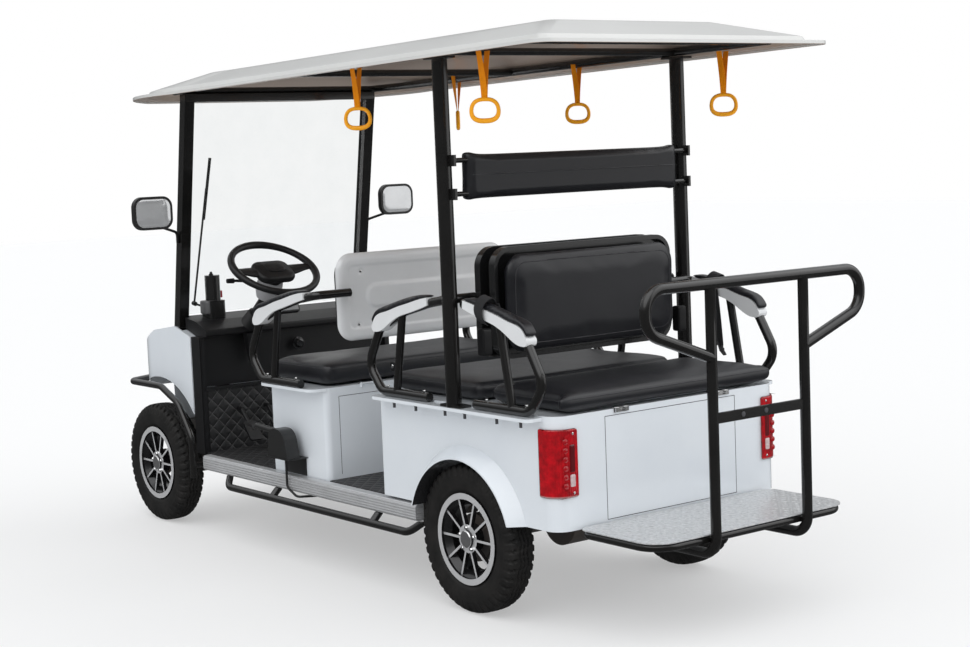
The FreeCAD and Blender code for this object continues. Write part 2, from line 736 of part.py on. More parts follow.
def make_motor():
    """Drive motor as one plain block on the gear case's flank."""
    start = DIFF_OFFSET - DIFF_LENGTH / 2
    x = DIFF_RADIUS / 2
    return cylinder((x, start - MOTOR_LENGTH, AXLE_Z), (x, start, AXLE_Z), MOTOR_RADIUS).cut(
        cylinder((0, start - MOTOR_LENGTH - OVERRUN, AXLE_Z), (0, start + OVERRUN, AXLE_Z),
                 AXLE_RADIUS + SEATING_GAP))


def make_spring(axle, span):
    """Leaf pack over an axle: shorter leaves under a main leaf, with an eye and hanger at each end."""
    y = (RAIL_Y - SPRING_WIDTH / 2, RAIL_Y + SPRING_WIDTH / 2)
    z = AXLE_Z + AXLE_RADIUS
    pieces = []
    for i in range(SPRING_LEAVES):
        reach = span / 2 * (1 - SPRING_STEP_SHARE * (SPRING_LEAVES - 1 - i))
        low = z + SPRING_LEAF * i
        pieces.append(box((axle - reach, axle + reach), y, (low, low + SPRING_LEAF)))
    rail = RAIL_HIGH
    eye = z + SPRING_LEAF * SPRING_LEAVES
    for end in (-1, 1):
        tip = axle + end * span / 2
        inner = tip - end * SPRING_WIDTH
        pieces.append(box(sorted((inner, tip)), y, (eye, rail)))
    return fuse(pieces)


# Frame and floor
def make_chassis():
    """Two rails, low amidships and stepped up over both axles, with cross members and seat uprights."""
    low = (RAIL_LOW, RAIL_LOW + RAIL_HEIGHT)
    high = (RAIL_HIGH, RAIL_HIGH + RAIL_HEIGHT)
    pieces = []
    for side in (1, -1):
        y = sorted((side * (RAIL_Y - RAIL_WIDTH / 2), side * (RAIL_Y + RAIL_WIDTH / 2)))
        pieces.append(box((RAIL_KICK_X, RAIL_DROP_X), y, low))
        pieces.append(box((RAIL_REAR_X, RAIL_KICK_X + RAIL_WIDTH), y, high))
        pieces.append(box((RAIL_DROP_X, RAIL_FRONT_X), y, high))
        pieces.append(box((RAIL_KICK_X, RAIL_KICK_X + RAIL_WIDTH), y, (low[0], high[1])))
        pieces.append(box((RAIL_DROP_X, RAIL_DROP_X + RAIL_WIDTH), y, (low[0], high[1])))
        for x in (RAIL_REAR_X, BODY_FRONT_X - BODY_WALL - SEAT_UPRIGHT - SEATING_GAP):
            foot = high[0] if x < RAIL_KICK_X else low[1] - PAN
            inner = side * (RAIL_Y - SEAT_UPRIGHT / 2)
            outer = side * (RAIL_Y + SEAT_UPRIGHT / 2)
            pieces.append(box((x, x + SEAT_UPRIGHT), sorted((inner, outer)),
                              (foot, BODY_TOP - BODY_WALL - SEATING_GAP)))
    half = SILL_OUTER_Y - SILL_WIDTH - SEATING_GAP
    for x in (RAIL_KICK_X + RAIL_WIDTH, BOX_REAR_X, BOX_FRONT_X, FIREWALL_X - OUTRIGGER / 2):
        pieces.append(box((x, x + OUTRIGGER), (-half, half), low))
    for x in (RAIL_REAR_X, RAIL_FRONT_X - OUTRIGGER):
        pieces.append(box((x, x + OUTRIGGER), (-RAIL_Y, RAIL_Y), high))
    return fuse(pieces)


def make_floor():
    """Floor pan from the rear footwell to the firewall, with holes for the rear seat uprights."""
    half = SILL_OUTER_Y - SILL_WIDTH - SEATING_GAP
    x = (RAIL_KICK_X + RAIL_WIDTH + SEATING_GAP, FIREWALL_X)
    pan = box(x, (-half, half), (FLOOR_HEIGHT - PAN, FLOOR_HEIGHT))
    back = BODY_FRONT_X - BODY_WALL - SEAT_UPRIGHT - 2 * SEATING_GAP
    for side in (1, -1):
        y = sorted((side * (RAIL_Y - SEAT_UPRIGHT / 2 - SEATING_GAP), side * (RAIL_Y + SEAT_UPRIGHT / 2
                                                                             + SEATING_GAP)))
        pan = pan.cut(box((back, back + SEAT_UPRIGHT + 2 * SEATING_GAP), y,
                          (FLOOR_HEIGHT - PAN - OVERRUN, FLOOR_HEIGHT + OVERRUN)))
    return pan


def make_mats():
    """Quilted mats: front footwell, firewall and middle footwell."""
    half = BOX_HALF
    front = box((BOX_FRONT_X + SEATING_GAP, FIREWALL_X - MAT - SEATING_GAP), (-half, half),
                (FLOOR_HEIGHT, MAT_TOP))
    middle = box((BODY_FRONT_X + SEATING_GAP, BOX_REAR_X - SEATING_GAP), (-half, half),
                 (FLOOR_HEIGHT, MAT_TOP))
    wall = box((FIREWALL_X - MAT, FIREWALL_X), (-KICK_INNER_Y + SEATING_GAP, KICK_INNER_Y - SEATING_GAP),
               (FLOOR_HEIGHT, FIREWALL_TOP))
    return [front, middle, wall]


def make_sill():
    """Ribbed aluminium sill along the floor's edge."""
    y = (SILL_OUTER_Y - SILL_WIDTH, SILL_OUTER_Y)
    z = (SILL_TOP - SILL_HEIGHT, SILL_TOP)
    face = outline([(SILL_REAR_X, y[0], z[0]), (SILL_REAR_X, y[1], z[0]), (SILL_REAR_X, y[1], z[1]),
                    (SILL_REAR_X, y[0], z[1])], [0, SILL_ROUND, SILL_ROUND, 0])
    return face.extrude(V(SILL_FRONT_X - SILL_REAR_X, 0, 0))


def make_side_bar():
    """Guard tube under the sill, turned up at both ends, on two short stubs."""
    y = SILL_OUTER_Y + SIDE_BAR_OUT
    top = SILL_TOP - SILL_HEIGHT - SEATING_GAP
    inner = SILL_OUTER_Y - SILL_WIDTH / 2
    points = [(SIDE_BAR_REAR_X - SIDE_BAR_RAKE, inner, top), (SIDE_BAR_REAR_X, y, SIDE_BAR_Z),
              (SIDE_BAR_FRONT_X, y, SIDE_BAR_Z), (SIDE_BAR_FRONT_X + SIDE_BAR_RAKE, inner, top)]
    pieces = [tube(points, SIDE_BAR_BEND, SIDE_BAR_RADIUS)]
    for share in STUB_SHARES:
        x = SIDE_BAR_REAR_X + (SIDE_BAR_FRONT_X - SIDE_BAR_REAR_X) * share
        pieces.append(cylinder((x, y, SIDE_BAR_Z), (x, inner, top), SIDE_BAR_RADIUS))
    bar = fuse(pieces)
    return bar.cut(box((SIDE_BAR_REAR_X - 2 * SIDE_BAR_RAKE - OVERRUN, SIDE_BAR_FRONT_X + 2 * SIDE_BAR_RAKE
                        + OVERRUN), (0, y + OVERRUN), (top, top + 2 * OVERRUN)))


# Rear body
def body_form(inset, z):
    """The rear body's outer block, drawn in by an inset, between two heights."""
    rear = max(BODY_CORNER - inset, 0)
    front = max(BODY_FRONT_CORNER - inset, 0)
    half = BODY_HALF - inset
    return slab((BODY_REAR_X + inset, BODY_FRONT_X - inset), (-half, half), z, [rear, front, front, rear])


def make_rear_body():
    """Hollow rear body with deck, locker opening, wheel wells, arch flares and side lips."""
    z = (BODY_BOTTOM, BODY_TOP)
    body = body_form(0, z).cut(body_form(BODY_WALL, (BODY_BOTTOM - OVERRUN, BODY_TOP - BODY_WALL)))
    body = body.cut(slab((LOCKER_REAR_X, LOCKER_FRONT_X), (-LOCKER_HALF, LOCKER_HALF),
                         (BODY_TOP - 2 * BODY_WALL, BODY_TOP + OVERRUN), LOCKER_CORNER))
    reach = ARCH_RADIUS + 2 * FLARE_OUT
    below = box((-2 * reach, 2 * reach), (0, BODY_HALF + reach), (AXLE_Z - 2 * reach, BODY_BOTTOM))
    sides = []
    for side in (1, -1):
        y = side * (BODY_HALF + FLARE_OUT + OVERRUN)
        body = body.cut(cylinder((0, side * (BODY_HALF - WELL_DEPTH), AXLE_Z), (0, y, AXLE_Z), ARCH_RADIUS))
    out = BODY_HALF + FLARE_OUT
    skin = BODY_HALF - BODY_WALL / 2
    flare = spun([(FLARE_RADIUS, skin), (FLARE_RADIUS, BODY_HALF), (ARCH_RADIUS + FLARE_WALL, out),
                  (ARCH_RADIUS, out), (ARCH_RADIUS, skin)], 0, 0)
    well = cylinder((0, BODY_HALF - WELL_DEPTH, AXLE_Z), (0, skin, AXLE_Z), ARCH_RADIUS + BODY_WALL)
    well = well.cut(cylinder((0, BODY_HALF - WELL_DEPTH + BODY_WALL, AXLE_Z), (0, skin + OVERRUN, AXLE_Z),
                             ARCH_RADIUS))
    lip = slab((LIP_REAR_X, LIP_FRONT_X), (skin, BODY_HALF + LIP_OUT), (LIP_TOP - LIP_THICK, LIP_TOP),
               [0, 0, LIP_CORNER, LIP_CORNER])
    for piece in (flare.cut(below), well.cut(below), lip):
        sides += both_sides(piece)
    pins = hinge_pins(REAR_HINGE, REAR_HINGE[0] + HINGE_KNUCKLE, BODY_TOP - BODY_WALL / 2)
    return fuse([body] + sides + pins)


def make_tail_lamps():
    """Red lamp that wraps each rear corner and stands a little proud of the body."""
    z = (TAIL_BOTTOM, TAIL_TOP)
    lamp = body_form(-TAIL_STAND, z).cut(body_form(-SEATING_GAP, (z[0] - OVERRUN, z[1] + OVERRUN)))
    keep = box((BODY_REAR_X - 2 * OVERRUN, TAIL_SIDE_X), (TAIL_INNER_Y, BODY_HALF + 2 * OVERRUN), z)
    return both_sides(lamp.common(keep))


# Front seat box, battery and cushions
def hinge_ends(side):
    """A seat hinge's knuckle across the cart, and the outer faces of the two ears beside it."""
    y = side * HINGE_Y - HINGE_LENGTH / 2
    reach = HINGE_LEAF + SEATING_GAP
    return (y, y + HINGE_LENGTH), (y - reach, y + HINGE_LENGTH + reach)


def hinge_knuckles(place, lid_x):
    """A seat's two bored hinge knuckles on leaves that run into the seat."""
    x, z = place
    pieces = []
    for side in (1, -1):
        ends, outer = hinge_ends(side)
        leaf = box(sorted((x, lid_x)), ends, (z - HINGE_LEAF / 2, z + HINGE_LEAF / 2))
        knuckle = cylinder((x, ends[0], z), (x, ends[1], z), HINGE_KNUCKLE).fuse(leaf)
        pieces.append(knuckle.cut(cylinder((x, outer[0], z), (x, outer[1], z), HINGE_PIN + SEATING_GAP)))
    return pieces


def hinge_pins(place, base_x, base_z):
    """A seat's two hinge pins, each between ears that stand on what carries the seat."""
    x, z = place
    r = HINGE_KNUCKLE
    pieces = []
    for side in (1, -1):
        outer = hinge_ends(side)[1]
        pieces.append(cylinder((x, outer[0], z), (x, outer[1], z), HINGE_PIN))
        for ear in ((outer[0], outer[0] + HINGE_LEAF), (outer[1] - HINGE_LEAF, outer[1])):
            pieces.append(cylinder((x, ear[0], z), (x, ear[1], z), r))
            pieces.append(box((x - r, base_x), ear, (base_z, z)))
    return pieces


def make_seat_box():
    """Hollow box under the front bench, open on top inside a rim, with a lip on each side."""
    x, z = (BOX_REAR_X, BOX_FRONT_X), (FLOOR_HEIGHT, BOX_TOP)
    half = BOX_HALF
    shell = slab(x, (-half, half), z, BOX_CORNER)
    inner = (x[0] + BODY_WALL, x[1] - BODY_WALL)
    shell = shell.cut(slab(inner, (-half + BODY_WALL, half - BODY_WALL), (z[0] - OVERRUN, z[1] - BODY_WALL),
                           BOX_CORNER - BODY_WALL))
    rim = BOX_RIM
    shell = shell.cut(slab((x[0] + rim, x[1] - rim), (-half + rim, half - rim), (z[0], z[1] + OVERRUN),
                           BOX_CORNER))
    lip = outline([(x[0], half - BODY_WALL / 2, BOX_TOP - BOX_LIP_THICK), (x[1], half - BODY_WALL / 2,
                   BOX_TOP - BOX_LIP_THICK), (x[1] - rim / 2, half + BOX_LIP_OUT, BOX_TOP - BOX_LIP_THICK),
                  (x[0] + rim / 2, half + BOX_LIP_OUT, BOX_TOP - BOX_LIP_THICK)], [0, 0, rim, rim])
    pins = hinge_pins(FRONT_HINGE, BOX_REAR_X + BODY_WALL / 2, BOX_TOP - BOX_LIP_THICK)
    return fuse([shell] + both_sides(lip.extrude(V(0, 0, BOX_LIP_THICK))) + pins)


def make_battery():
    """The traction batteries as one plain block on the floor inside the seat box."""
    x = (BOX_REAR_X + BOX_FRONT_X - BATTERY_LENGTH) / 2
    return box((x, x + BATTERY_LENGTH), (-BATTERY_HALF, BATTERY_HALF),
               (FLOOR_HEIGHT, FLOOR_HEIGHT + BATTERY_HEIGHT))


def soft(x, half, z, radius):
    """A plain upholstered block with its upright and upper edges rounded."""
    block = slab(x, (-half, half), z, radius)
    top = [e for e in block.Edges if min(v.Z for v in e.Vertexes) > z[1] - CUSHION_EDGE / 100]
    return block.makeFillet(CUSHION_EDGE, top)


def make_front_cushion():
    """Front bench: a board that rests on the seat box and the padded cushion on it, as one lid."""
    x = (FRONT_CUSHION_X, FRONT_CUSHION_X + CUSHION_DEPTH)
    seat = soft(x, CUSHION_HALF, (FRONT_SEAT_Z, FRONT_SEAT_Z + CUSHION_BASE + CUSHION_THICK), CUSHION_CORNER)
    return fuse([seat] + hinge_knuckles(FRONT_HINGE, FRONT_CUSHION_X + HINGE_LEAF))


def make_mid_cushion():
    """Middle bench, fixed on the deck and running back under its backrest."""
    return soft((MID_CUSHION_REAR_X, MID_CUSHION_FRONT_X), CUSHION_HALF,
                (REAR_SEAT_Z, REAR_SEAT_Z + REAR_CUSHION_THICK), CUSHION_CORNER)


def make_rear_cushion():
    """Rear bench, a locker lid that widens behind the armrests."""
    x0, x1, xw = REAR_CUSHION_REAR_X, REAR_CUSHION_FRONT_X, REAR_WING_X
    near, wing = CUSHION_HALF, REAR_WING_HALF
    z = REAR_SEAT_Z
    step = (wing - near) / 3
    points = [(x0, -wing, z), (xw, -wing, z), (xw, -near, z), (x1, -near, z), (x1, near, z), (xw, near, z),
              (xw, wing, z), (x0, wing, z)]
    face = outline(points, [step, step, step, CUSHION_CORNER, CUSHION_CORNER, step, step, step])
    block = face.extrude(V(0, 0, REAR_CUSHION_THICK))
    top = [e for e in block.Edges if min(v.Z for v in e.Vertexes) > z + REAR_CUSHION_THICK - step / 100]
    seat = block.makeFillet(step / 2, top)
    return fuse([seat] + hinge_knuckles(REAR_HINGE, REAR_CUSHION_FRONT_X - HINGE_LEAF))


def upright_slab(x, half, z, radius):
    """A panel that stands across the cart, with its corners rounded as seen from behind."""
    points = [(x[0], -half, z[0]), (x[0], half, z[0]), (x[0], half, z[1]), (x[0], -half, z[1])]
    return outline(points, radius).extrude(V(x[1] - x[0], 0, 0))


def make_back_shell(x, facing, height, rim):
    """Moulded back shell, hollow towards its pad inside a rim, with a long pill-shaped rib in its back."""
    z = (BACK_BOTTOM, BACK_BOTTOM + height)
    shell = upright_slab((x, x + SHELL_THICK), BACK_HALF, z, BACK_CORNER)
    wall = SHELL_WALL
    if facing > 0:
        hollow = (x + wall, x + SHELL_THICK + OVERRUN)
        back = (x - OVERRUN, x + wall / 2)
    else:
        hollow = (x - OVERRUN, x + SHELL_THICK - wall)
        back = (x + SHELL_THICK - wall / 2, x + SHELL_THICK + OVERRUN)
    shell = shell.cut(upright_slab(hollow, BACK_HALF - rim, (z[0] + rim, z[1] - rim), BACK_CORNER - rim))
    middle = (z[0] + z[1]) / 2
    rib = upright_slab(back, BACK_HALF - RIB_INSET, (middle - RIB_HEIGHT / 2, middle + RIB_HEIGHT / 2),
                       RIB_HEIGHT / 2 - SEATING_GAP)
    return shell.cut(rib)


def make_back_pad(x, facing, height, inset):
    """Backrest pad that fills its shell's open side and stands out towards the sitter."""
    z = (BACK_BOTTOM + inset, BACK_BOTTOM + height - inset)
    if facing > 0:
        span = (x + SHELL_THICK + SEATING_GAP, x + SHELL_THICK + PAD_THICK)
    else:
        span = (x - PAD_THICK, x - SEATING_GAP)
    return upright_slab(span, BACK_HALF - inset, z, BACK_CORNER - inset)


def make_roll():
    """Padded roll between the middle posts with its two cross rods."""
    x = (ROLL_X - ROLL_THICK / 2, ROLL_X + ROLL_THICK / 2)
    roll = along_y([(x[0], ROLL_BOTTOM), (x[1], ROLL_BOTTOM), (x[1], ROLL_TOP), (x[0], ROLL_TOP)],
                   ROLL_THICK / 3, (-ROLL_HALF, ROLL_HALF))
    pieces = [roll]
    for z in ROD_HEIGHTS:
        reach = POST_Y - LUG - SEATING_GAP
        pieces.append(cylinder((ROD_X, -reach, z), (ROD_X, reach, z), ROLL_ROD_RADIUS))
    return fuse(pieces)


# Armrests
def arm_start(row):
    """Where a bench's armrest tube starts on its lip, and the way that bench faces."""
    lip = (BOX_TOP, LIP_TOP, LIP_TOP)[row] + ARM_RADIUS + SEATING_GAP
    return ARM_ROWS_X[row], lip, (1, 1, -1)[row]


def arm_back(row):
    """Where a bench's tube turns inboard to its backrest."""
    return (FRONT_SHELL_X - ARM_RADIUS - SEATING_GAP, MID_SHELL_X + SHELL_THICK + ARM_SIDE_STEP,
            REAR_SHELL_X + SHELL_THICK)[row]


def arm_points(row):
    """The armrest tube's corners for one bench, left side."""
    start, lip, facing = arm_start(row)
    inner = (BACK_HALF - ARM_END_INSET, BACK_HALF + SEATING_GAP, BACK_HALF + SEATING_GAP)[row]
    top = lip + ARM_BACK_RISE[row]
    shape = [(0, 0), (ARM_BASE, 0), (ARM_NOSE, ARM_NOSE_RISE), (ARM_KNEE, ARM_KNEE_RISE),
             (ARM_MID, ARM_MID_RISE), (ARM_TAIL, ARM_TAIL_RISE)]
    points = [(start + facing * u, ARM_Y, lip + w) for u, w in shape]
    return points + [(arm_back(row), ARM_Y, top), (arm_back(row), inner, top)]


def arm_tube(row, radius):
    """The bent tube of one bench's armrest, left side."""
    bends = [0, ARM_BASE_BEND, ARM_NOSE_BEND, ARM_KNEE_BEND, ARM_MID_BEND, ARM_KNEE_BEND, ARM_BACK_BEND, 0]
    return tube(arm_points(row), bends, radius)


def arm_centre(row, u):
    """The tube's centre line above the knee, as (distance, rise), and the way up from it."""
    start, lip, facing = arm_start(row)
    back = facing * (arm_back(row) - start)
    corners = [V(ARM_KNEE, ARM_KNEE_RISE), V(ARM_MID, ARM_MID_RISE), V(ARM_TAIL, ARM_TAIL_RISE),
               V(back, ARM_BACK_RISE[row])]
    ahead, behind = corners[:2] if u > ARM_MID else corners[1:3] if u > ARM_TAIL else corners[2:]
    run = (ahead - behind).normalize()
    return ahead - run * ((ahead.x - u) / run.x), V(-run.y, run.x)


def arm_upright(row, gap):
    """The upright inside one bench's armrest, left side, grown by a gap."""
    start, lip, facing = arm_start(row)
    head = arm_centre(row, ARM_UPRIGHT_TOP)[0]
    return cylinder((start + facing * ARM_UPRIGHT_FOOT, ARM_Y, lip),
                    (start + facing * head.x, ARM_Y, lip + head.y), ARM_UPRIGHT_RADIUS + gap)


def make_armrests(row):
    """Bent tube from the lip round the pad and in to the backrest, with its inner upright."""
    return both_sides(fuse([arm_tube(row, ARM_RADIUS), arm_upright(row, 0)]))


def arm_strip(row, lows, highs, gap, width):
    """A strip along the armrest between two curves off its centre line, with a round nose."""
    start, lip, facing = arm_start(row)
    curves = []
    for offsets, lift in ((lows, gap), (highs, 0)):
        points = []
        for u, offset in zip(PAD_STATIONS + (PAD_TAILS[row],), offsets):
            centre, up = arm_centre(row, u)
            point = centre + up * (offset + lift)
            points.append(V(start + facing * point.x, ARM_Y - width / 2, lip + point.y))
        curves.append(points)
    low, high = curves
    ahead = (high[0] - low[0]).cross(V(0, -facing, 0)) * NOSE_SHARE
    nose = Part.Arc(high[0], (low[0] + high[0]) / 2 + ahead, low[0]).toShape()
    under, over = Part.BSplineCurve(), Part.BSplineCurve()
    under.interpolate(low)
    over.interpolate(high[::-1])
    edges = [nose, under.toShape(), Part.makeLine(low[-1], high[-1]), over.toShape()]
    return Part.Face(Part.Wire(edges)).extrude(V(0, width, 0))


def make_arm_pads():
    """Six padded tops, thick at the nose, each on its trim."""
    pads = []
    for row in range(3):
        pads += both_sides(arm_strip(row, PAD_SEAM, PAD_TOP, SEATING_GAP, PAD_WIDTH))
    return pads


def make_arm_trims():
    """Six moulded trims that saddle the armrest tube under the pads."""
    trims = []
    for row in range(3):
        trim = arm_strip(row, TRIM_LOW, PAD_SEAM, 0, TRIM_WIDTH)
        trim = trim.cut(arm_upright(row, SEATING_GAP)).cut(arm_tube(row, ARM_RADIUS + SEATING_GAP))
        trims += both_sides(trim)
    return trims


# Posts and roof
def make_posts():
    """Middle posts on bolted foot plates, with a flange under the roof tubes."""
    top_x = POST_X + POST_LEAN
    top = roof_tube_z(top_x + POST_PLATE_LENGTH / 2) - ROOF_TUBE_RADIUS - SEATING_GAP
    foot = LIP_TOP + SEATING_GAP
    post = cylinder((POST_X, POST_Y, foot), (top_x, POST_Y, top), POST_RADIUS)
    post = post.common(box((POST_X - 2 * POST_RADIUS, POST_X + 2 * POST_RADIUS),
                           (POST_Y - POST_RADIUS, POST_Y + POST_RADIUS), (foot, top)))
    half = POST_PLATE_LENGTH / 2
    inner = BODY_HALF + SEATING_GAP
    plate = slab((POST_X - half, POST_X + half), (inner, inner + POST_PLATE_WIDTH),
                 (foot, foot + POST_PLATE), POST_PLATE)
    wide = POST_PLATE_WIDTH / 2
    flange = slab((top_x - half, top_x + half), (POST_Y - wide, POST_Y + wide), (top - POST_PLATE, top),
                  POST_PLATE)
    pieces = [post, plate, flange]
    for z in ROD_HEIGHTS:
        pieces.append(box((ROD_X - 2 * LUG, POST_X), (POST_Y - LUG, POST_Y), (z - 2 * LUG, z + 2 * LUG)))
    return both_sides(fuse(pieces))


def roof_tube_z(x):
    """Height of the roof's long tubes, which lie against the dome's sloping underside."""
    slope = (ROOF_DOME - ROOF_SHOULDER) / ROOF_DOME_RUN
    inset = ROOF_HALF - ROOF_TUBE_Y - ROOF_SHOULDER_INSET - ROOF_SHOULDER_RUN - ROOF_WALL
    ceiling = ROOF_SHOULDER + inset * slope - ROOF_WALL
    return roof_z(x) + ceiling - (ROOF_TUBE_RADIUS + SEATING_GAP) * math.sqrt(1 + slope ** 2)


def make_roof_frame():
    """Long tubes with cross tubes near their ends, over the posts and on the windscreen's top bar."""
    inset = 3 * ROOF_TUBE_RADIUS
    front = FRONT_TOP_X + inset
    pieces = []
    for side in (1, -1):
        stations = ((ROOF_TUBE_REAR_X, ROOF_TUBE_Y), (ROOF_TUBE_TURN_X, ROOF_TUBE_Y),
                    (front, ROOF_TUBE_FRONT_Y))
        pieces.append(tube([(x, side * y, roof_tube_z(x)) for x, y in stations], ROOF_TUBE_BEND,
                           ROOF_TUBE_RADIUS))
    for x in (ROOF_TUBE_REAR_X + inset, POST_X, (POST_X + FRONT_TOP_X) / 2, FRONT_TOP_X):
        z = roof_tube_z(x)
        reach = ROOF_TUBE_Y if x < ROOF_TUBE_TURN_X else ROOF_TUBE_FRONT_Y
        pieces.append(cylinder((x, -reach, z), (x, reach, z), ROOF_CROSS_RADIUS))
    return fuse(pieces)


def make_front_frame():
    """Raked square posts with a bar across their tops, on a beam inside the nose with legs to the rails."""
    half = FRONT_POST_SIZE / 2
    foot = FRONT_BEAM_Z
    x0, x1 = post_x(foot), post_x(FRONT_TOP_Z)
    pieces = []
    for side in (1, -1):
        y = side * FRONT_POST_Y - half
        face = outline([(x0 - half, y, foot), (x0 + half, y, foot), (x1 + half, y, FRONT_TOP_Z),
                        (x1 - half, y, FRONT_TOP_Z)])
        pieces.append(face.extrude(V(0, FRONT_POST_SIZE, 0)))
        y = side * RAIL_Y
        pieces.append(box((x0 - half, x0 + half), (y - half, y + half),
                          (RAIL_HIGH + RAIL_HEIGHT + SEATING_GAP, foot + FRONT_BEAM_HEIGHT)))
    reach = FRONT_POST_Y + half
    pieces.append(box((x0 - half, x0 + half), (-reach, reach), (foot, foot + FRONT_BEAM_HEIGHT)))
    top = roof_tube_z(FRONT_TOP_X) - ROOF_CROSS_RADIUS - SEATING_GAP
    pieces.append(box((x1 - half, x1 + half), (-reach, reach), (FRONT_TOP_Z - half / 2, top)))
    return fuse(pieces)


def make_screen():
    """Flat clear windscreen between the posts."""
    low, high = SCREEN_BASE_Z, FRONT_TOP_Z - FRONT_POST_SIZE / 4 - SEATING_GAP
    half = FRONT_POST_Y - FRONT_POST_SIZE / 2 - SEATING_GAP
    thick = SCREEN_THICK / 2
    face = outline([(post_x(low) - thick, -half, low), (post_x(low) + thick, -half, low),
                    (post_x(high) + thick, -half, high), (post_x(high) - thick, -half, high)])
    return face.extrude(V(0, 2 * half, 0))


def roof_outline(inset, z):
    """Plan of the roof: square-cut rear with round corners, sides, and a bowed front."""
    rear, half = ROOF_REAR_X + inset, ROOF_HALF - inset
    front = ROOF_FRONT_X - inset
    r = max(ROOF_REAR_CORNER - inset / 2, ROOF_LEAST_CORNER)
    deep = ROOF_CORNER_DEPTH * half / ROOF_HALF
    straight = ROOF_STRAIGHT_X
    start_l, start_r = V(straight, half, z), V(straight, -half, z)
    side_l, side_r = V(rear + r, half, z), V(rear + r, -half, z)
    back_l, back_r = V(rear, half - r, z), V(rear, -half + r, z)
    nose_l, nose_r = V(front, half - deep, z), V(front, -half + deep, z)
    turn = r * (1 - math.sqrt(0.5))
    share = math.sqrt(0.5)
    bow = (front - straight) * share
    edges = [Part.makeLine(side_l, start_l)]
    edges.append(Part.Arc(start_l, V(straight + bow, half - deep * (1 - share), z), nose_l).toShape())
    edges.append(Part.makeLine(nose_l, nose_r))
    edges.append(Part.Arc(nose_r, V(straight + bow, -half + deep * (1 - share), z), start_r).toShape())
    edges.append(Part.makeLine(start_r, side_r))
    edges.append(Part.Arc(side_r, V(rear + turn, -half + turn, z), back_r).toShape())
    edges.append(Part.makeLine(back_r, back_l))
    edges.append(Part.Arc(back_l, V(rear + turn, half - turn, z), side_l).toShape())
    return Part.Wire(edges)


def roof_crown(wall):
    """The roof's raised middle as one solid, drawn in all round by a wall: shoulder, dome and crown."""
    inset = ROOF_SHOULDER_INSET + wall
    levels = [(inset, 0), (inset + ROOF_SHOULDER_RUN, ROOF_SHOULDER - wall)]
    levels.append((levels[-1][0] + ROOF_DOME_RUN, ROOF_DOME - wall))
    levels.append((levels[-1][0] + ROOF_CROWN_RUN, ROOF_CROWN - wall))
    return Part.makeLoft([roof_outline(*level) for level in levels], True, True)


def make_roof():
    """Thin moulded roof: flat flange, stepped shoulder and low dome, hollow below, tipped to the rear."""
    wall = ROOF_WALL
    flange = Part.Face(roof_outline(0, 0)).extrude(V(0, 0, ROOF_FLANGE))
    lower = Part.Face(roof_outline(wall, -OVERRUN)).extrude(V(0, 0, OVERRUN + ROOF_FLANGE - wall))
    roof = flange.fuse(roof_crown(0)).cut(roof_crown(wall)).cut(lower).removeSplitter()
    slope = math.degrees(math.atan2(ROOF_REAR_RIM - ROOF_FRONT_RIM, ROOF_FRONT_X - ROOF_REAR_X))
    roof.translate(V(0, 0, ROOF_REAR_RIM))
    return roof.rotate(V(ROOF_REAR_X, 0, ROOF_REAR_RIM), V(0, 1, 0), slope)


# Cowl, dash, firewall and front guard
def cowl_form(inset):
    """The nose as a block: side profile across the cart, trimmed to the rounded plan."""
    d = inset
    points = [(COWL_REAR_X - d, COWL_CHIN - d), (COWL_REAR_X - d, COWL_REAR_TOP - d),
              (COWL_PEAK_X, COWL_PEAK_TOP - d), (COWL_HOOD_X, COWL_HOOD_TOP - d),
              (COWL_BROW_X - d / 2, COWL_BROW_TOP - d), (COWL_NOSE_X - d, COWL_NOSE_TOP - d / 2),
              (COWL_CHIN_X - d, COWL_CHIN - d)]
    half = COWL_HALF - d
    radii = [0, 0, COWL_SIDE_ROUND, COWL_SIDE_ROUND, COWL_SIDE_ROUND, COWL_SIDE_ROUND, 0]
    block = along_y(points, radii, (-half, half))
    corner_r = COWL_CORNER - d
    plan = slab((COWL_REAR_X - 2 * OVERRUN, COWL_NOSE_X - d), (-half, half), (0, COWL_PEAK_TOP + OVERRUN),
                [0, corner_r, corner_r, 0])
    return block.common(plan)


def make_cowl():
    """White nose panel, open below and behind, cut away over the front wheels."""
    cowl = cowl_form(0).cut(cowl_form(COWL_WALL))
    for side in (1, -1):
        start = side * COWL_WELL_Y
        outer = side * (COWL_HALF + OVERRUN)
        cowl = cowl.cut(cylinder((WHEELBASE, start, AXLE_Z), (WHEELBASE, outer, AXLE_Z), COWL_ARCH_RADIUS))
        x = post_x(COWL_PEAK_TOP)
        size = FRONT_POST_SIZE / 2 + SEATING_GAP
        y = sorted((side * FRONT_POST_Y - size, side * FRONT_POST_Y + size))
        cowl = cowl.cut(box((x - 2 * size, x + 2 * size), y, (COWL_HOOD_TOP - 2 * COWL_SIDE_ROUND,
                                                            COWL_PEAK_TOP + OVERRUN)))
        cowl = cowl.cut(lamp_bore(side, LAMP_RADIUS + SEATING_GAP))
    return cowl


def lamp_bore(side, radius):
    """The round seat of a headlamp through the nose."""
    return cylinder((COWL_BROW_X - LAMP_DEPTH, side * LAMP_Y, LAMP_Z), (COWL_NOSE_X + OVERRUN, side * LAMP_Y,
                                                                     LAMP_Z), radius)


def make_headlamps():
    """Round lamps flush in the nose."""
    lamp = lamp_bore(1, LAMP_RADIUS).common(cowl_form(0))
    return both_sides(lamp)


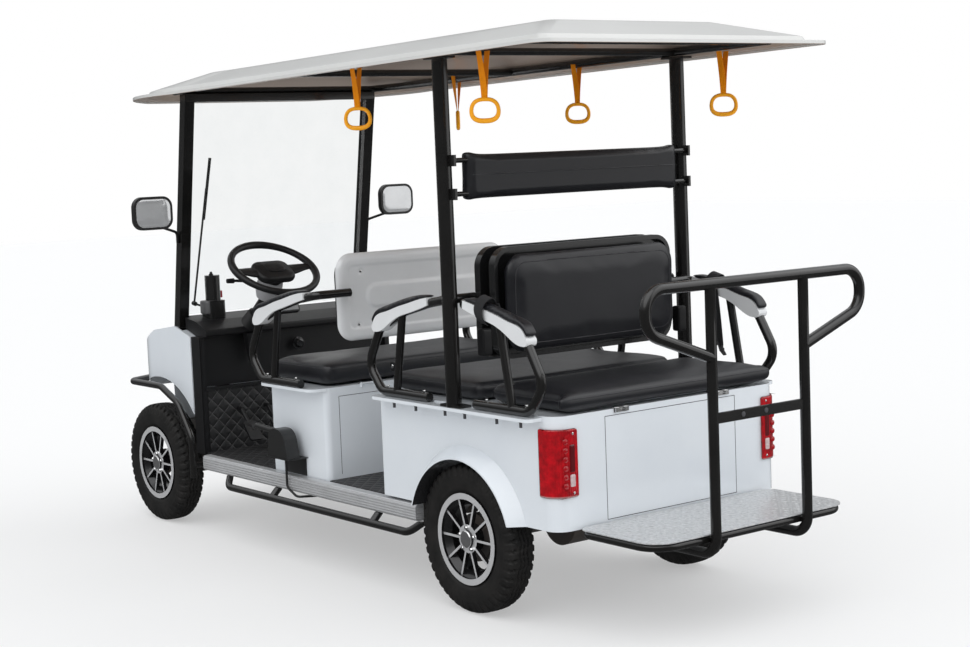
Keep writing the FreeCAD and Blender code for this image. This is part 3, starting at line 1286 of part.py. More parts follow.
def make_dash():
    """Black moulded dash over the cowl's rear edge, with a lip towards the driver and a recessed face."""
    gap = SEATING_GAP
    points = [(DASH_FACE_X, FIREWALL_TOP + gap), (DASH_FACE_X, DASH_LIP_LOW), (DASH_LIP_X, DASH_LIP_LOW),
              (DASH_LIP_X, DASH_LIP_TOP), (DASH_TOP_X, DASH_TOP), (DASH_FRONT_X, DASH_FRONT_TOP),
              (DASH_FRONT_X, COWL_PEAK_TOP + gap), (COWL_REAR_X - COWL_WALL - gap, COWL_REAR_TOP + gap),
              (COWL_REAR_X - COWL_WALL - gap, FIREWALL_TOP + gap)]
    r = DASH_ROUND
    dash = along_y(points, [0, 0, r, r, r, 0, 0, 0, 0], (-DASH_HALF, DASH_HALF))
    for side in (1, -1):
        x = post_x(COWL_PEAK_TOP)
        size = FRONT_POST_SIZE / 2 + gap
        y = sorted((side * FRONT_POST_Y - size, side * FRONT_POST_Y + size))
        dash = dash.cut(box((x - 2 * size, x + 2 * size), y, (FIREWALL_TOP, DASH_FRONT_TOP + OVERRUN)))
    return dash.cut(column_form(COLUMN_RADIUS + gap))


def make_firewall():
    """Firewall plate with the black kick panels that close the door openings' front edges."""
    x = (FIREWALL_X, FIREWALL_X + FIREWALL)
    pieces = [box(x, (-KICK_OUTER_Y, KICK_OUTER_Y), (FLOOR_HEIGHT, FIREWALL_TOP))]
    for side in (1, -1):
        y = sorted((side * KICK_INNER_Y, side * KICK_OUTER_Y))
        pieces.append(box((FIREWALL_X - MAT, COWL_REAR_X - COWL_WALL - SEATING_GAP), y,
                          (FLOOR_HEIGHT, DASH_LIP_LOW)))
    kick = fuse(pieces)
    return kick.cut(box((0, FIREWALL_X + 4 * OVERRUN), (-DASH_HALF - SEATING_GAP, DASH_HALF + SEATING_GAP),
                        (FIREWALL_TOP, DASH_TOP)))


def make_guard():
    """Black tube that runs from behind each front wheel over it and across the nose."""
    centre = WHEELBASE
    reach = TYRE_RADIUS + GUARD_CLEAR
    y = GUARD_Y
    foot_x = centre - math.sqrt(reach ** 2 - (AXLE_Z - GUARD_FOOT_Z) ** 2)
    slope = math.sqrt(0.5)
    points = [(foot_x, y, GUARD_FOOT_Z), (foot_x, y, AXLE_Z + reach * GUARD_RISE_SHARE),
              (centre - reach * slope, y, AXLE_Z + reach * slope * GUARD_HIP_SHARE),
              (centre - reach * GUARD_CROWN_SHARE, y, GUARD_FRONT_Z), (GUARD_CORNER_X, y, GUARD_FRONT_Z)]
    nose = centre + FRONT_OVERHANG - GUARD_RADIUS
    points.append((nose, GUARD_NOSE_HALF, GUARD_FRONT_Z))
    mirrored = [(px, -py, pz) for px, py, pz in reversed(points)]
    bend = reach / 4
    radii = [0, bend, bend, bend, bend / 2, bend]
    pieces = [tube(points + mirrored, radii + radii[::-1], GUARD_RADIUS)]
    rail_end = RAIL_FRONT_X + SEATING_GAP
    rail_z = RAIL_HIGH + RAIL_HEIGHT / 2
    stub_z = RAIL_LOW + RAIL_HEIGHT / 2
    stub_end = SILL_OUTER_Y - SILL_WIDTH
    for side in (1, -1):
        across = side * RAIL_Y
        edges = sorted((across - RAIL_WIDTH / 2, across + RAIL_WIDTH / 2))
        drop = [(nose, across, GUARD_FRONT_Z), (nose, across, rail_z), (rail_end, across, rail_z)]
        pieces.append(tube(drop, bend / 2, GUARD_RADIUS))
        pieces.append(box((rail_end, rail_end + GUARD_RADIUS / 2), edges,
                          (RAIL_HIGH, RAIL_HIGH + RAIL_HEIGHT)))
        pieces.append(cylinder((foot_x, side * y, stub_z), (foot_x, side * stub_end, stub_z), GUARD_RADIUS))
    return fuse(pieces)


# Steering wheel, column and pedals
def steering_axis():
    """Unit vector up the steering column towards the driver."""
    a = math.radians(WHEEL_TILT)
    return V(-math.sin(a), 0, math.cos(a))


def make_steering_wheel():
    """Padded rim on two spokes with a broad, deep boss, drawn flat and then tipped to the column."""
    half, across = WHEEL_BOSS / 2, WHEEL_BOSS_WIDTH / 2
    boss = slab((-half, half), (-across, across), (-WHEEL_BOSS_DEPTH, 0), WHEEL_BOSS_CORNER)
    pieces = [Part.makeTorus(WHEEL_RADIUS, WHEEL_GRIP), boss]
    spoke = (-WHEEL_SPOKE / 2, WHEEL_SPOKE / 2)
    pieces.append(box(spoke, (-WHEEL_RADIUS, WHEEL_RADIUS), (-WHEEL_SPOKE_THICK, 0)))
    wheel = fuse(pieces)
    wheel = wheel.rotate(V(0, 0, 0), V(0, 1, 0), -WHEEL_TILT)
    wheel.translate(V(WHEEL_X, WHEEL_Y, WHEEL_Z))
    return wheel


def column_head():
    """Where the column starts under the wheel's boss."""
    return V(WHEEL_X, WHEEL_Y, WHEEL_Z) - steering_axis() * (WHEEL_BOSS_DEPTH + COLUMN_GAP)


def column_form(radius):
    """The column's run: along the wheel's axis, then over at its joint and down into the dash."""
    head = column_head()
    foot = V(WHEELBASE - COLUMN_FOOT_BACK, WHEEL_Y, COLUMN_FOOT_Z)
    return tube([head, head - steering_axis() * COLUMN_ELBOW, foot], COLUMN_BEND, radius)


def make_column():
    """Column with the shroud over its joint, under the wheel."""
    shroud = Part.makeCone(SHROUD_TOP, SHROUD_FOOT, SHROUD_LENGTH, column_head(), steering_axis() * -1)
    return fuse([column_form(COLUMN_RADIUS), shroud])


def make_pedals():
    """Brake and accelerator pads on stems from the firewall."""
    pedals = []
    for y in PEDAL_Y:
        x = FIREWALL_X - MAT - SEATING_GAP
        pad_x = x - PEDAL_REACH
        z = MAT_TOP + PEDAL_RISE
        pad = slab((pad_x - PEDAL_HEIGHT / 2, pad_x + PEDAL_HEIGHT / 2), (y - PEDAL_WIDTH / 2,
                   y + PEDAL_WIDTH / 2), (z - PEDAL_THICK / 2, z + PEDAL_THICK / 2), PEDAL_THICK)
        pad = pad.rotate(V(pad_x, y, z), V(0, 1, 0), -PEDAL_TILT)
        boss_x = x - 3 * PEDAL_STEM
        stem = cylinder((pad_x, y, z), (boss_x, y, z + PEDAL_RISE), PEDAL_STEM)
        high = z + PEDAL_RISE
        boss = cylinder((boss_x - PEDAL_STEM, y, high), (x, y, high), PEDAL_STEM + SEATING_GAP)
        pedals.append(fuse([pad, stem, boss]))
    return pedals


# Wiper, mirrors and handles
def screen_normal():
    """Unit vector out of the windscreen, forward and up."""
    run = V(FRONT_TOP_X - FRONT_FOOT_X, 0, FRONT_TOP_Z - FRONT_FOOT_Z).normalize()
    return V(run.z, 0, -run.x)


def wiper_points():
    """Pivot and blade tip on the outside of the windscreen, and the way out of it."""
    out = screen_normal()
    pivot = V(post_x(WIPER_BASE_Z), WIPER_Y, WIPER_BASE_Z) + out * (SCREEN_THICK / 2 + SEATING_GAP)
    up = V(FRONT_TOP_X - FRONT_FOOT_X, 0, FRONT_TOP_Z - FRONT_FOOT_Z).normalize()
    lean = (WIPER_TIP_Y - WIPER_Y) / WIPER_LENGTH
    along = (up * math.sqrt(1 - lean ** 2) + V(0, lean, 0)).normalize()
    return pivot, along, out


def make_wiper():
    """Wiper arm with its blade and the pivot cap."""
    pivot, along, out = wiper_points()
    lift = out * WIPER_BLADE
    start = pivot + lift
    tip = start + along * WIPER_LENGTH
    arm_end = start + along * (WIPER_LENGTH * (1 - WIPER_BLADE_SHARE / 2))
    arm = cylinder(start, arm_end, WIPER_ARM / 2)
    blade_start = tip - along * (WIPER_LENGTH * WIPER_BLADE_SHARE)
    half = out * (WIPER_BLADE / 2)
    blade = cylinder(blade_start - half, tip - half, WIPER_BLADE / 2 - SEATING_GAP)
    bridge = cylinder(arm_end, arm_end - half, WIPER_ARM / 2)
    cap = cylinder(pivot + out * SEATING_GAP, pivot + out * WIPER_PIVOT_LENGTH, WIPER_PIVOT_RADIUS)
    return fuse([arm, blade, bridge, cap])


def make_wiper_motor():
    """Wiper motor inside the screen: gear case fitted to the dash with the motor can standing on it."""
    pivot, along, out = wiper_points()
    x, y = pivot.x - WIPER_MOTOR_BACK, WIPER_Y - WIPER_MOTOR_INSET
    size = WIPER_GEAR / 2
    case = slab((x - size, x + size), (y - size, y + size), (DASH_TOP, WIPER_GEAR_TOP), size / 3)
    low = DASH_TOP - OVERRUN
    dash = along_y([(DASH_TOP_X, low), (DASH_TOP_X, DASH_TOP + SEATING_GAP), (DASH_FRONT_X, DASH_FRONT_TOP
                   + SEATING_GAP), (DASH_FRONT_X, low)], 0, (y - WIPER_GEAR, y + WIPER_GEAR))
    middle = (DASH_FRONT_TOP + WIPER_GEAR_TOP) / 2
    can = cylinder((x, y, middle), (x, y, WIPER_MOTOR_TOP), WIPER_MOTOR_RADIUS)
    shaft = cylinder(V(x, y + size / 2, middle), pivot - out * (SCREEN_THICK + WIPER_SEAL),
                     WIPER_PIVOT_RADIUS / 2)
    return fuse([case.cut(dash), can, shaft])


def make_mirrors():
    """Rounded mirror heads on stalks clamped to the front posts."""
    head = outline([(MIRROR_X, MIRROR_Y + sy * MIRROR_WIDTH / 2, MIRROR_Z + sz * MIRROR_HEIGHT / 2)
                    for sy, sz in ((-1, -1), (1, -1), (1, 1), (-1, 1))], MIRROR_CORNER)
    head = head.extrude(V(MIRROR_DEPTH, 0, 0))
    clamp_y = FRONT_POST_Y + FRONT_POST_SIZE / 2 + SEATING_GAP + MIRROR_STALK
    clamp_x = post_x(MIRROR_CLAMP_Z)
    middle = MIRROR_X + MIRROR_DEPTH / 2
    stalk = tube([(middle, MIRROR_Y, MIRROR_Z - MIRROR_HEIGHT / 3), (clamp_x, clamp_y, MIRROR_CLAMP_Z
                 + MIRROR_HEIGHT / 3), (clamp_x, clamp_y, MIRROR_CLAMP_Z)], MIRROR_CORNER / 2, MIRROR_STALK)
    return both_sides(fuse([head, stalk]))


def handle_plate(x, y, inset):
    """A handle's rounded outline, drawn in by an inset, as a plate; an inset one runs through."""
    half, tall = HANDLE_WIDTH / 2 - inset, HANDLE_HEIGHT / 2 - inset
    depth = HANDLE_THICK / 2 + inset
    points = [(x - half, HANDLE_Z - tall), (x + half, HANDLE_Z - tall), (x + half, HANDLE_Z + tall),
              (x - half, HANDLE_Z + tall)]
    low, high = tall / 2, tall - SEATING_GAP
    return along_y(points, [low, low, high, high], (y - depth, y + depth))


def make_handles():
    """Hand grips: a rounded ring on a strap from the roof tube."""
    handles = []
    for x, side, turn in HANDLES:
        y = side * ROOF_TUBE_Y
        tall = HANDLE_HEIGHT / 2
        ring = handle_plate(x, y, 0).cut(handle_plate(x, y, HANDLE_THICK))
        top = roof_tube_z(x) - ROOF_TUBE_RADIUS - SEATING_GAP
        strap = box((x - STRAP_WIDTH / 2, x + STRAP_WIDTH / 2), (y - STRAP_THICK / 2, y + STRAP_THICK / 2),
                    (HANDLE_Z + tall - HANDLE_THICK / 2, top))
        handles.append(fuse([ring, strap]).rotate(V(x, y, 0), V(0, 0, 1), turn))
    return handles


# Step and hoop
def make_step_plate():
    """Chequer plate on the step's rim tube."""
    return slab((STEP_REAR_X, STEP_FRONT_X), (-STEP_HALF, STEP_HALF), (STEP_TOP - STEP_PLATE, STEP_TOP),
                [STEP_CORNER, STEP_CORNER / 2, STEP_CORNER / 2, STEP_CORNER])


def make_step_frame():
    """Rim tube under the plate, two bearers to the chassis, and the grab hoop that rises from them."""
    r = STEP_TUBE_RADIUS
    z = STEP_TOP - STEP_PLATE - SEATING_GAP - r
    x0, x1, half = STEP_REAR_X + r, STEP_FRONT_X - r, STEP_HALF - r
    rim = tube([(x0, -half, z), (x1, -half, z), (x1, half, z), (x0, half, z)],
               [STEP_CORNER, STEP_CORNER / 2, STEP_CORNER / 2, STEP_CORNER], r, closed=True)
    pieces = [rim]
    low = HOOP_FOOT_Z
    end = RAIL_REAR_X + 2 * OUTRIGGER
    for side in (1, -1):
        y = side * HOOP_Y
        pieces.append(tube([(HOOP_X, y, HOOP_TOP), (HOOP_X, y, low), (end, y, low)], HOOP_FOOT_BEND,
                           HOOP_UPRIGHT_RADIUS))
        pieces.append(box((end - OUTRIGGER, end), sorted((y - side * HOOP_RADIUS, side * RAIL_Y)),
                          (low, RAIL_HIGH - SEATING_GAP)))
        pieces.append(cylinder((x1, y, low), (x1, y, z), HOOP_RADIUS / 2))
        pieces.append(cylinder((HOOP_X, y, z), (x0, y, z), r / 2))
    elbow = [(HOOP_X, HOOP_Y, HOOP_JOIN_Z), (HOOP_X, HOOP_REACH, HOOP_ELBOW_Z), (HOOP_X, HOOP_REACH,
                                                                               HOOP_TOP)]
    loop = [(px, -py, pz) for px, py, pz in elbow] + elbow[::-1]
    pieces.append(tube(loop, [0, HOOP_ELBOW_BEND, HOOP_BEND, HOOP_BEND, HOOP_ELBOW_BEND, 0], HOOP_RADIUS))
    pieces.append(box((HOOP_X - HOOP_BAR_THICK / 2, HOOP_X + HOOP_BAR_THICK / 2), (-HOOP_Y, HOOP_Y),
                      (HOOP_BAR_Z - HOOP_BAR_HEIGHT / 2, HOOP_BAR_Z + HOOP_BAR_HEIGHT / 2)))
    return fuse(pieces)


# Parking brake
def make_brake():
    """Domed lever housing on a plate outside the seat box, with the grip forward."""
    x, z = BRAKE_X, BRAKE_BASE_Z
    inner = BOX_HALF + SEATING_GAP
    half = BRAKE_LENGTH / 2
    plate = box((x - half - BRAKE_WIDTH / 4, x + half + BRAKE_WIDTH / 4), (inner, inner + BRAKE_PLATE_OUT),
                (z - BRAKE_PLATE, z))
    bracket = box((x - half, x + half), (inner, inner + BRAKE_PLATE), (MAT_TOP, z))
    y = (inner + BRAKE_PLATE_OUT - BRAKE_WIDTH - BRAKE_PLATE, inner + BRAKE_PLATE_OUT - BRAKE_PLATE)
    dome = along_y([(x - half, z), (x + half, z), (x + half * BRAKE_TOP_FRONT, z + BRAKE_HEIGHT),
                    (x - half * BRAKE_TOP_REAR, z + BRAKE_HEIGHT)],
                   [0, 0, half * BRAKE_ROUND_FRONT, half * BRAKE_ROUND_REAR], y)
    middle = (y[0] + y[1]) / 2
    grip_z = z + BRAKE_HEIGHT - BRAKE_GRIP_DROP
    grip = cylinder((x, middle, grip_z), (x + half + BRAKE_GRIP_LENGTH, middle, grip_z + BRAKE_GRIP_RADIUS),
                    BRAKE_GRIP_RADIUS)
    return fuse([plate, bracket, dome, grip])


def make_cable():
    """Brake cable from the housing's plate down past the sill and back under the floor."""
    x = BRAKE_X
    y = SILL_OUTER_Y + 2 * CABLE_RADIUS
    top = BRAKE_BASE_Z - BRAKE_PLATE - SEATING_GAP
    low = SILL_TOP - SILL_HEIGHT - 3 * CABLE_RADIUS
    points = [(x, y, top), (x, y, low + SILL_HEIGHT / 2), (x - SILL_HEIGHT, y - CABLE_RADIUS, low),
              (x - 3 * SILL_HEIGHT, RAIL_Y + RAIL_WIDTH, low), (x - 5 * SILL_HEIGHT, RAIL_Y + RAIL_WIDTH,
                                                                low)]
    return tube(points, [0, 5 * CABLE_RADIUS, 5 * CABLE_RADIUS, 5 * CABLE_RADIUS, 0], CABLE_RADIUS)


def save(name, shape):
    """Move one node to the cart's origin and write it."""
    if isinstance(shape, (list, tuple)):
        shape = Part.Compound(list(shape))
    shape = shape.copy()
    shape.translate(V(-ORIGIN_X, 0, 0))
    shape.exportStep(os.path.join("parts", name + ".step"))


def build():
    """Every node by name."""
    nodes = {
        "chassis_frame": make_chassis(),
        "floor_pan": make_floor(),
        "floor_mats": make_mats(),
        "sills": both_sides(make_sill()),
        "side_bars": both_sides(make_side_bar()),
        "rear_body": make_rear_body(),
        "tail_lamps": make_tail_lamps(),
        "seat_box": make_seat_box(),
        "battery_pack": make_battery(),
        "front_cushion": make_front_cushion(),
        "mid_cushion": make_mid_cushion(),
        "rear_cushion": make_rear_cushion(),
        "front_back_shell": make_back_shell(FRONT_SHELL_X, 1, BACK_HEIGHT, SHELL_WALL),
        "front_back_pad": make_back_pad(FRONT_SHELL_X, 1, BACK_HEIGHT, 0),
        "mid_back_shell": make_back_shell(MID_SHELL_X, 1, REAR_BACK_HEIGHT, FRAME_WALL),
        "mid_back_pad": make_back_pad(MID_SHELL_X, 1, REAR_BACK_HEIGHT, PAD_INSET),
        "rear_back_shell": make_back_shell(REAR_SHELL_X, -1, REAR_BACK_HEIGHT, FRAME_WALL),
        "rear_back_pad": make_back_pad(REAR_SHELL_X, -1, REAR_BACK_HEIGHT, PAD_INSET),
        "upper_roll": make_roll(),
        "armrests_front": make_armrests(0),
        "armrests_mid": make_armrests(1),
        "armrests_rear": make_armrests(2),
        "armrest_pads": make_arm_pads(),
        "armrest_trims": make_arm_trims(),
        "roof_posts": make_posts(),
        "roof_frame": make_roof_frame(),
        "roof": make_roof(),
        "front_frame": make_front_frame(),
        "windscreen": make_screen(),
        "front_cowl": make_cowl(),
        "headlamps": make_headlamps(),
        "dashboard": make_dash(),
        "firewall": make_firewall(),
        "front_guard": make_guard(),
        "steering_wheel": make_steering_wheel(),
        "steering_column": make_column(),
        "pedals": make_pedals(),
        "wiper": make_wiper(),
        "wiper_motor": make_wiper_motor(),
        "mirrors": make_mirrors(),
        "grab_handles": make_handles(),
        "step_plate": make_step_plate(),
        "step_frame": make_step_frame(),
        "parking_brake": make_brake(),
        "brake_cable": make_cable(),
        "front_axle": make_front_axle(),
        "steering_rack": make_rack(),
        "rear_axle": make_rear_axle(),
        "drive_motor": make_motor(),
        "leaf_springs": both_sides(make_spring(0, SPRING_SPAN)) + both_sides(
            make_spring(WHEELBASE, SPRING_FRONT_SPAN)),
    }
    nodes["knuckle_left"], nodes["knuckle_right"] = both_sides(make_knuckle())
    for end, axle in (("front", WHEELBASE), ("rear", 0)):
        for make, name in ((make_tyre, "tyre"), (make_rim, "rim")):
            left, right = both_sides(make(axle))
            nodes[name + "_" + end + "_left"] = left
            nodes[name + "_" + end + "_right"] = right
    return nodes


os.makedirs("parts", exist_ok=True)
for name, shape in build().items():
    save(name, shape)
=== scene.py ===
import math

import bmesh
import bpy
import numpy as np
from mathutils import Matrix, Vector


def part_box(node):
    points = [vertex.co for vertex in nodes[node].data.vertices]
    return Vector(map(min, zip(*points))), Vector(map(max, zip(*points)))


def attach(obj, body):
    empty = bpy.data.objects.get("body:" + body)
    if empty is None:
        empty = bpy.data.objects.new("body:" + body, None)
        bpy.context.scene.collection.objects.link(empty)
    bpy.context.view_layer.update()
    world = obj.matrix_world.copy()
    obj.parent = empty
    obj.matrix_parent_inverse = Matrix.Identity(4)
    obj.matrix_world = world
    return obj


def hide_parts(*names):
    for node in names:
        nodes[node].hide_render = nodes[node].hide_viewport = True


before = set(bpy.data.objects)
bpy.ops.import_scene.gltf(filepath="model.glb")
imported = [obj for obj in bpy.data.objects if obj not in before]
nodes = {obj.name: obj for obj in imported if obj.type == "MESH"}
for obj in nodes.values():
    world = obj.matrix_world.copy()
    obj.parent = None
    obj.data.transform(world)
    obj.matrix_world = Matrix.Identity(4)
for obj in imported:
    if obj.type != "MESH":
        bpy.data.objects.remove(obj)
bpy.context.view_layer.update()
scene = bpy.context.scene

# Steel chassis: welded box rails, beam axles, leaf springs, steering gear and motor, painted black and dulled
# by road dust underneath. The paint recipe and the shading of the solids' edges are set up here first.
PAINT_BLACK = (0.03, 0.028, 0.027)
PAINT_DUST = (0.075, 0.058, 0.047)
COAT_ROUGH, GRAIN_DEPTH = 0.08, 0.0006
EDGE_TURN = math.radians(32)
LOOSE_CORNERS = 0.00002


def joined(tree, kind, **values):
    """A shader node with its inputs set, or linked where the value is a socket. An input is given by name, or
    by an i and its place."""
    node = tree.nodes.new(kind)
    for key, value in values.items():
        if key in ("operation", "data_type", "feature"):
            setattr(node, key, value)
            continue
        placed = key[0] == "i" and key[1:].isdigit()
        socket = node.inputs[int(key[1:]) if placed else key.replace("_", " ")]
        if hasattr(value, "is_output"):
            tree.links.new(value, socket)
        else:
            socket.default_value = value
    return node


def sums(tree, operation, first, second=0.5):
    """The result of one step of arithmetic. A step that takes one value leaves the second aside."""
    return joined(tree, "ShaderNodeMath", operation=operation, i0=first, i1=second).outputs[0]


def wave(tree, value, pitch):
    """A sine of a value that turns once in a pitch."""
    return sums(tree, "SINE", sums(tree, "MULTIPLY", value, 2 * math.pi / pitch))


def split(tree, vector):
    """The three coordinates of a vector."""
    return joined(tree, "ShaderNodeSeparateXYZ", Vector=vector).outputs


def outward(tree):
    """The way that each face looks."""
    return tree.nodes.new("ShaderNodeNewGeometry").outputs["Normal"]


def spread_over(tree, value, **ends):
    """A value carried from one range to another and kept inside it."""
    return joined(tree, "ShaderNodeMapRange", Value=value, **ends).outputs[0]


def speckle(tree, coords, scale, **values):
    """Cloud noise between nothing and one."""
    return joined(tree, "ShaderNodeTexNoise", Vector=coords, Scale=scale, **values).outputs["Fac"]


def mixed(tree, share, first, second):
    """Two colours mixed by a share."""
    return joined(tree, "ShaderNodeMix", data_type="RGBA", i0=share, i6=first, i7=second).outputs[2]


def finish(name, colour, rough, metal=0.0, coat=0.0, second=None, cloud=9.0, spread=0.05, grain=0.0,
           grain_size=700.0, cells=False, pattern=None, gloss=0.5):
    """Surface whose colour drifts between two tones over cloud noise, roughness drifting with it, over a fine
    grain of noise or leather cells. A pattern function may add a relief and its own mask of a third tone."""
    look = bpy.data.materials.new(name)
    look.use_nodes = True
    tree = look.node_tree
    shader = tree.nodes["Principled BSDF"]
    for socket, value in (("Metallic", metal), ("Coat Weight", coat), ("Coat Roughness", COAT_ROUGH),
                          ("Specular IOR Level", gloss)):
        shader.inputs[socket].default_value = value
    coords = tree.nodes.new("ShaderNodeTexCoord").outputs["Object"]
    noise = speckle(tree, coords, cloud, Detail=5.0, Roughness=0.6)
    if second is None:
        second = tuple(c * 1.12 for c in colour)
    tone = mixed(tree, spread_over(tree, noise, From_Min=0.32, From_Max=0.7), (*colour, 1), (*second, 1))
    dull = spread_over(tree, noise, To_Min=max(rough - spread, 0.02), To_Max=rough + spread)
    tree.links.new(dull, shader.inputs["Roughness"])
    normal = None
    if grain:
        if cells:
            skin = joined(tree, "ShaderNodeTexVoronoi", Vector=coords, Scale=grain_size, feature="SMOOTH_F1")
            height = skin.outputs["Distance"]
        else:
            height = speckle(tree, coords, grain_size, Detail=3.0)
        bump = joined(tree, "ShaderNodeBump", Strength=grain, Distance=GRAIN_DEPTH, Height=height)
        normal = bump.outputs[0]
    if pattern:
        relief, depth, mask, third = pattern(tree, coords)
        bump = joined(tree, "ShaderNodeBump", Strength=1.0, Distance=depth, Height=relief)
        if normal:
            tree.links.new(normal, bump.inputs["Normal"])
        normal = bump.outputs[0]
        if mask:
            tone = mixed(tree, mask, tone, (*third, 1))
    tree.links.new(tone, shader.inputs["Base Color"])
    if normal:
        tree.links.new(normal, shader.inputs["Normal"])
    return look


def edge_group():
    """Node group that merges a solid's loose triangles and shades it smooth, except past the edge angle."""
    group = bpy.data.node_groups.new("edge_shading", "GeometryNodeTree")
    for way in ("INPUT", "OUTPUT"):
        group.interface.new_socket("Geometry", in_out=way, socket_type="NodeSocketGeometry")
    start, end = group.nodes.new("NodeGroupInput"), group.nodes.new("NodeGroupOutput")
    merge = group.nodes.new("GeometryNodeMergeByDistance")
    merge.inputs["Distance"].default_value = LOOSE_CORNERS
    faces, edges = (group.nodes.new("GeometryNodeSetShadeSmooth") for _ in range(2))
    edges.domain = "EDGE"
    angle = group.nodes.new("GeometryNodeInputMeshEdgeAngle")
    under = group.nodes.new("FunctionNodeCompare")
    under.operation = "LESS_THAN"
    under.inputs["B"].default_value = EDGE_TURN
    group.links.new(angle.outputs["Unsigned Angle"], under.inputs["A"])
    group.links.new(under.outputs["Result"], edges.inputs["Shade Smooth"])
    for a, b in ((start, merge), (merge, faces), (faces, edges), (edges, end)):
        group.links.new(a.outputs[0], b.inputs[0])
    return group


edge_shading = edge_group()


def dress(look, *names, edge=0.0):
    """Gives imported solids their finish, smooth shading between their edges, and edges broken by a small
    radius."""
    for name in names:
        solid = nodes[name]
        for place in solid.material_slots:
            place.material = look
        shade = solid.modifiers.new("shading", "NODES")
        shade.node_group = edge_shading
        if edge:
            bevel = solid.modifiers.new("edges", "BEVEL")
            bevel.width = edge
            bevel.segments = 2
            bevel.limit_method = "ANGLE"
            bevel.angle_limit = EDGE_TURN
            bevel.harden_normals = True


chassis_paint = finish("chassis_paint", PAINT_BLACK, 0.5, coat=0.1, second=PAINT_DUST, cloud=5.0, spread=0.12,
                       grain=0.15, grain_size=260.0)
dress(chassis_paint, "chassis_frame", "front_axle", "rear_axle", "knuckle_left", "knuckle_right",
      "leaf_springs", edge=0.0015)
dress(finish("steering_steel", (0.2, 0.2, 0.21), 0.35, metal=0.9), "steering_rack")
dress(finish("cast_motor", (0.09, 0.09, 0.095), 0.6, metal=0.3, grain=0.4, grain_size=420.0), "drive_motor",
      edge=0.002)

# Floor: a steel pan between the sills, ribbed aluminium sills along its edges, and a black guard tube below
# each. Quilted mats with pale stitching lie in both footwells and up the firewall.
MAT_BLACK, THREAD_GREY = (0.016, 0.016, 0.017), (0.09, 0.09, 0.09)
QUILT, QUILT_DEPTH, THREAD = 0.062, 0.006, 0.07
RIB_PITCH, RIB_DEPTH = 0.0105, 0.0022


def quilt(tree, coords):
    """Diamonds: the lower of two sine ridges that run across each other, with thread where either is low."""
    x, y, z = split(tree, coords)
    along = sums(tree, "ADD", x, z)
    ridges = []
    for way in ("ADD", "SUBTRACT"):
        ridges.append(sums(tree, "ABSOLUTE", wave(tree, sums(tree, way, along, y), 2 * QUILT)))
    low = sums(tree, "MINIMUM", *ridges)
    swell = sums(tree, "POWER", low, 0.45)
    return swell, QUILT_DEPTH, sums(tree, "LESS_THAN", low, THREAD), THREAD_GREY


def ribs(tree, coords):
    """Long ribs: a sine of height with its crests and feet cut flat, six to the sill's depth."""
    rise = spread_over(tree, wave(tree, split(tree, coords)[2], RIB_PITCH), From_Min=-0.45, From_Max=0.45)
    return rise, RIB_DEPTH, None, None


dress(finish("floor_steel", (0.02, 0.02, 0.021), 0.55, grain=0.2), "floor_pan", edge=0.001)
quilted = finish("quilted_mat", MAT_BLACK, 0.55, grain=0.5, grain_size=500.0, cells=True, pattern=quilt)
dress(quilted, "floor_mats", edge=0.002)
ribbed = finish("ribbed_aluminium", (0.56, 0.565, 0.575), 0.36, metal=0.45, cloud=14.0, pattern=ribs)
dress(ribbed, "sills", edge=0.002)
tube_black = finish("tube_black", (0.006, 0.0057, 0.0055), 0.2, coat=0.5, second=(0.0095, 0.009, 0.0086),
                    gloss=0.35, cloud=6.0, grain=0.03, grain_size=90.0)
dress(tube_black, "side_bars", "armrests_front", "armrests_mid", "armrests_rear", "roof_posts", "roof_frame",
      "front_frame", "front_guard", "step_frame", edge=0.001)

# Wheels: 4.50-12 road tyres with block shoulders and zigzag centre grooves, on slim-spoked alloy rims whose
# lips are machined bright. Five nuts hold each rim, and a flat cap closes its hub.
TYRE_ROWS, TYRE_COLUMNS, LUGS = 460, 62, 46
TYRE_KNOTS = ((0.0434, 0.1515), (0.0436, 0.1664), (0.0470, 0.1690), (0.0545, 0.1800), (0.0592, 0.2000),
              (0.0600, 0.2150), (0.0587, 0.2350), (0.0548, 0.2520), (0.0485, 0.2640), (0.0380, 0.2696),
              (0.0200, 0.2716), (0.0, 0.2720))
LUG_DEPTH, GROOVE_DEPTH, GROOVES = 0.0085, 0.0070, (-0.016, 0.0, 0.016)
SIDE_RINGS, RING_RISE = (0.1860, 0.2290), 0.0009
NUTS, NUT_CIRCLE, NUT_RADIUS, RIM_FACE = 5, 0.042, 0.0075, 0.0435
MACHINED = (0.74, 0.74, 0.75)


def turns(count):
    """Equal steps once round a circle."""
    return np.linspace(0, 2 * np.pi, count, endpoint=False)


def quads(rows, columns, wrap_rows=True, wrap_columns=True):
    """Corner numbers of the quads of a grid of points, closed round in either direction."""
    r = np.arange(rows if wrap_rows else rows - 1)[:, None]
    c = np.arange(columns if wrap_columns else columns - 1)[None, :]
    r1, c1 = (r + 1) % rows, (c + 1) % columns
    corners = [r * columns + c, r * columns + c1, r1 * columns + c1, r1 * columns + c]
    return np.stack(np.broadcast_arrays(*corners), -1).reshape(-1, 4)


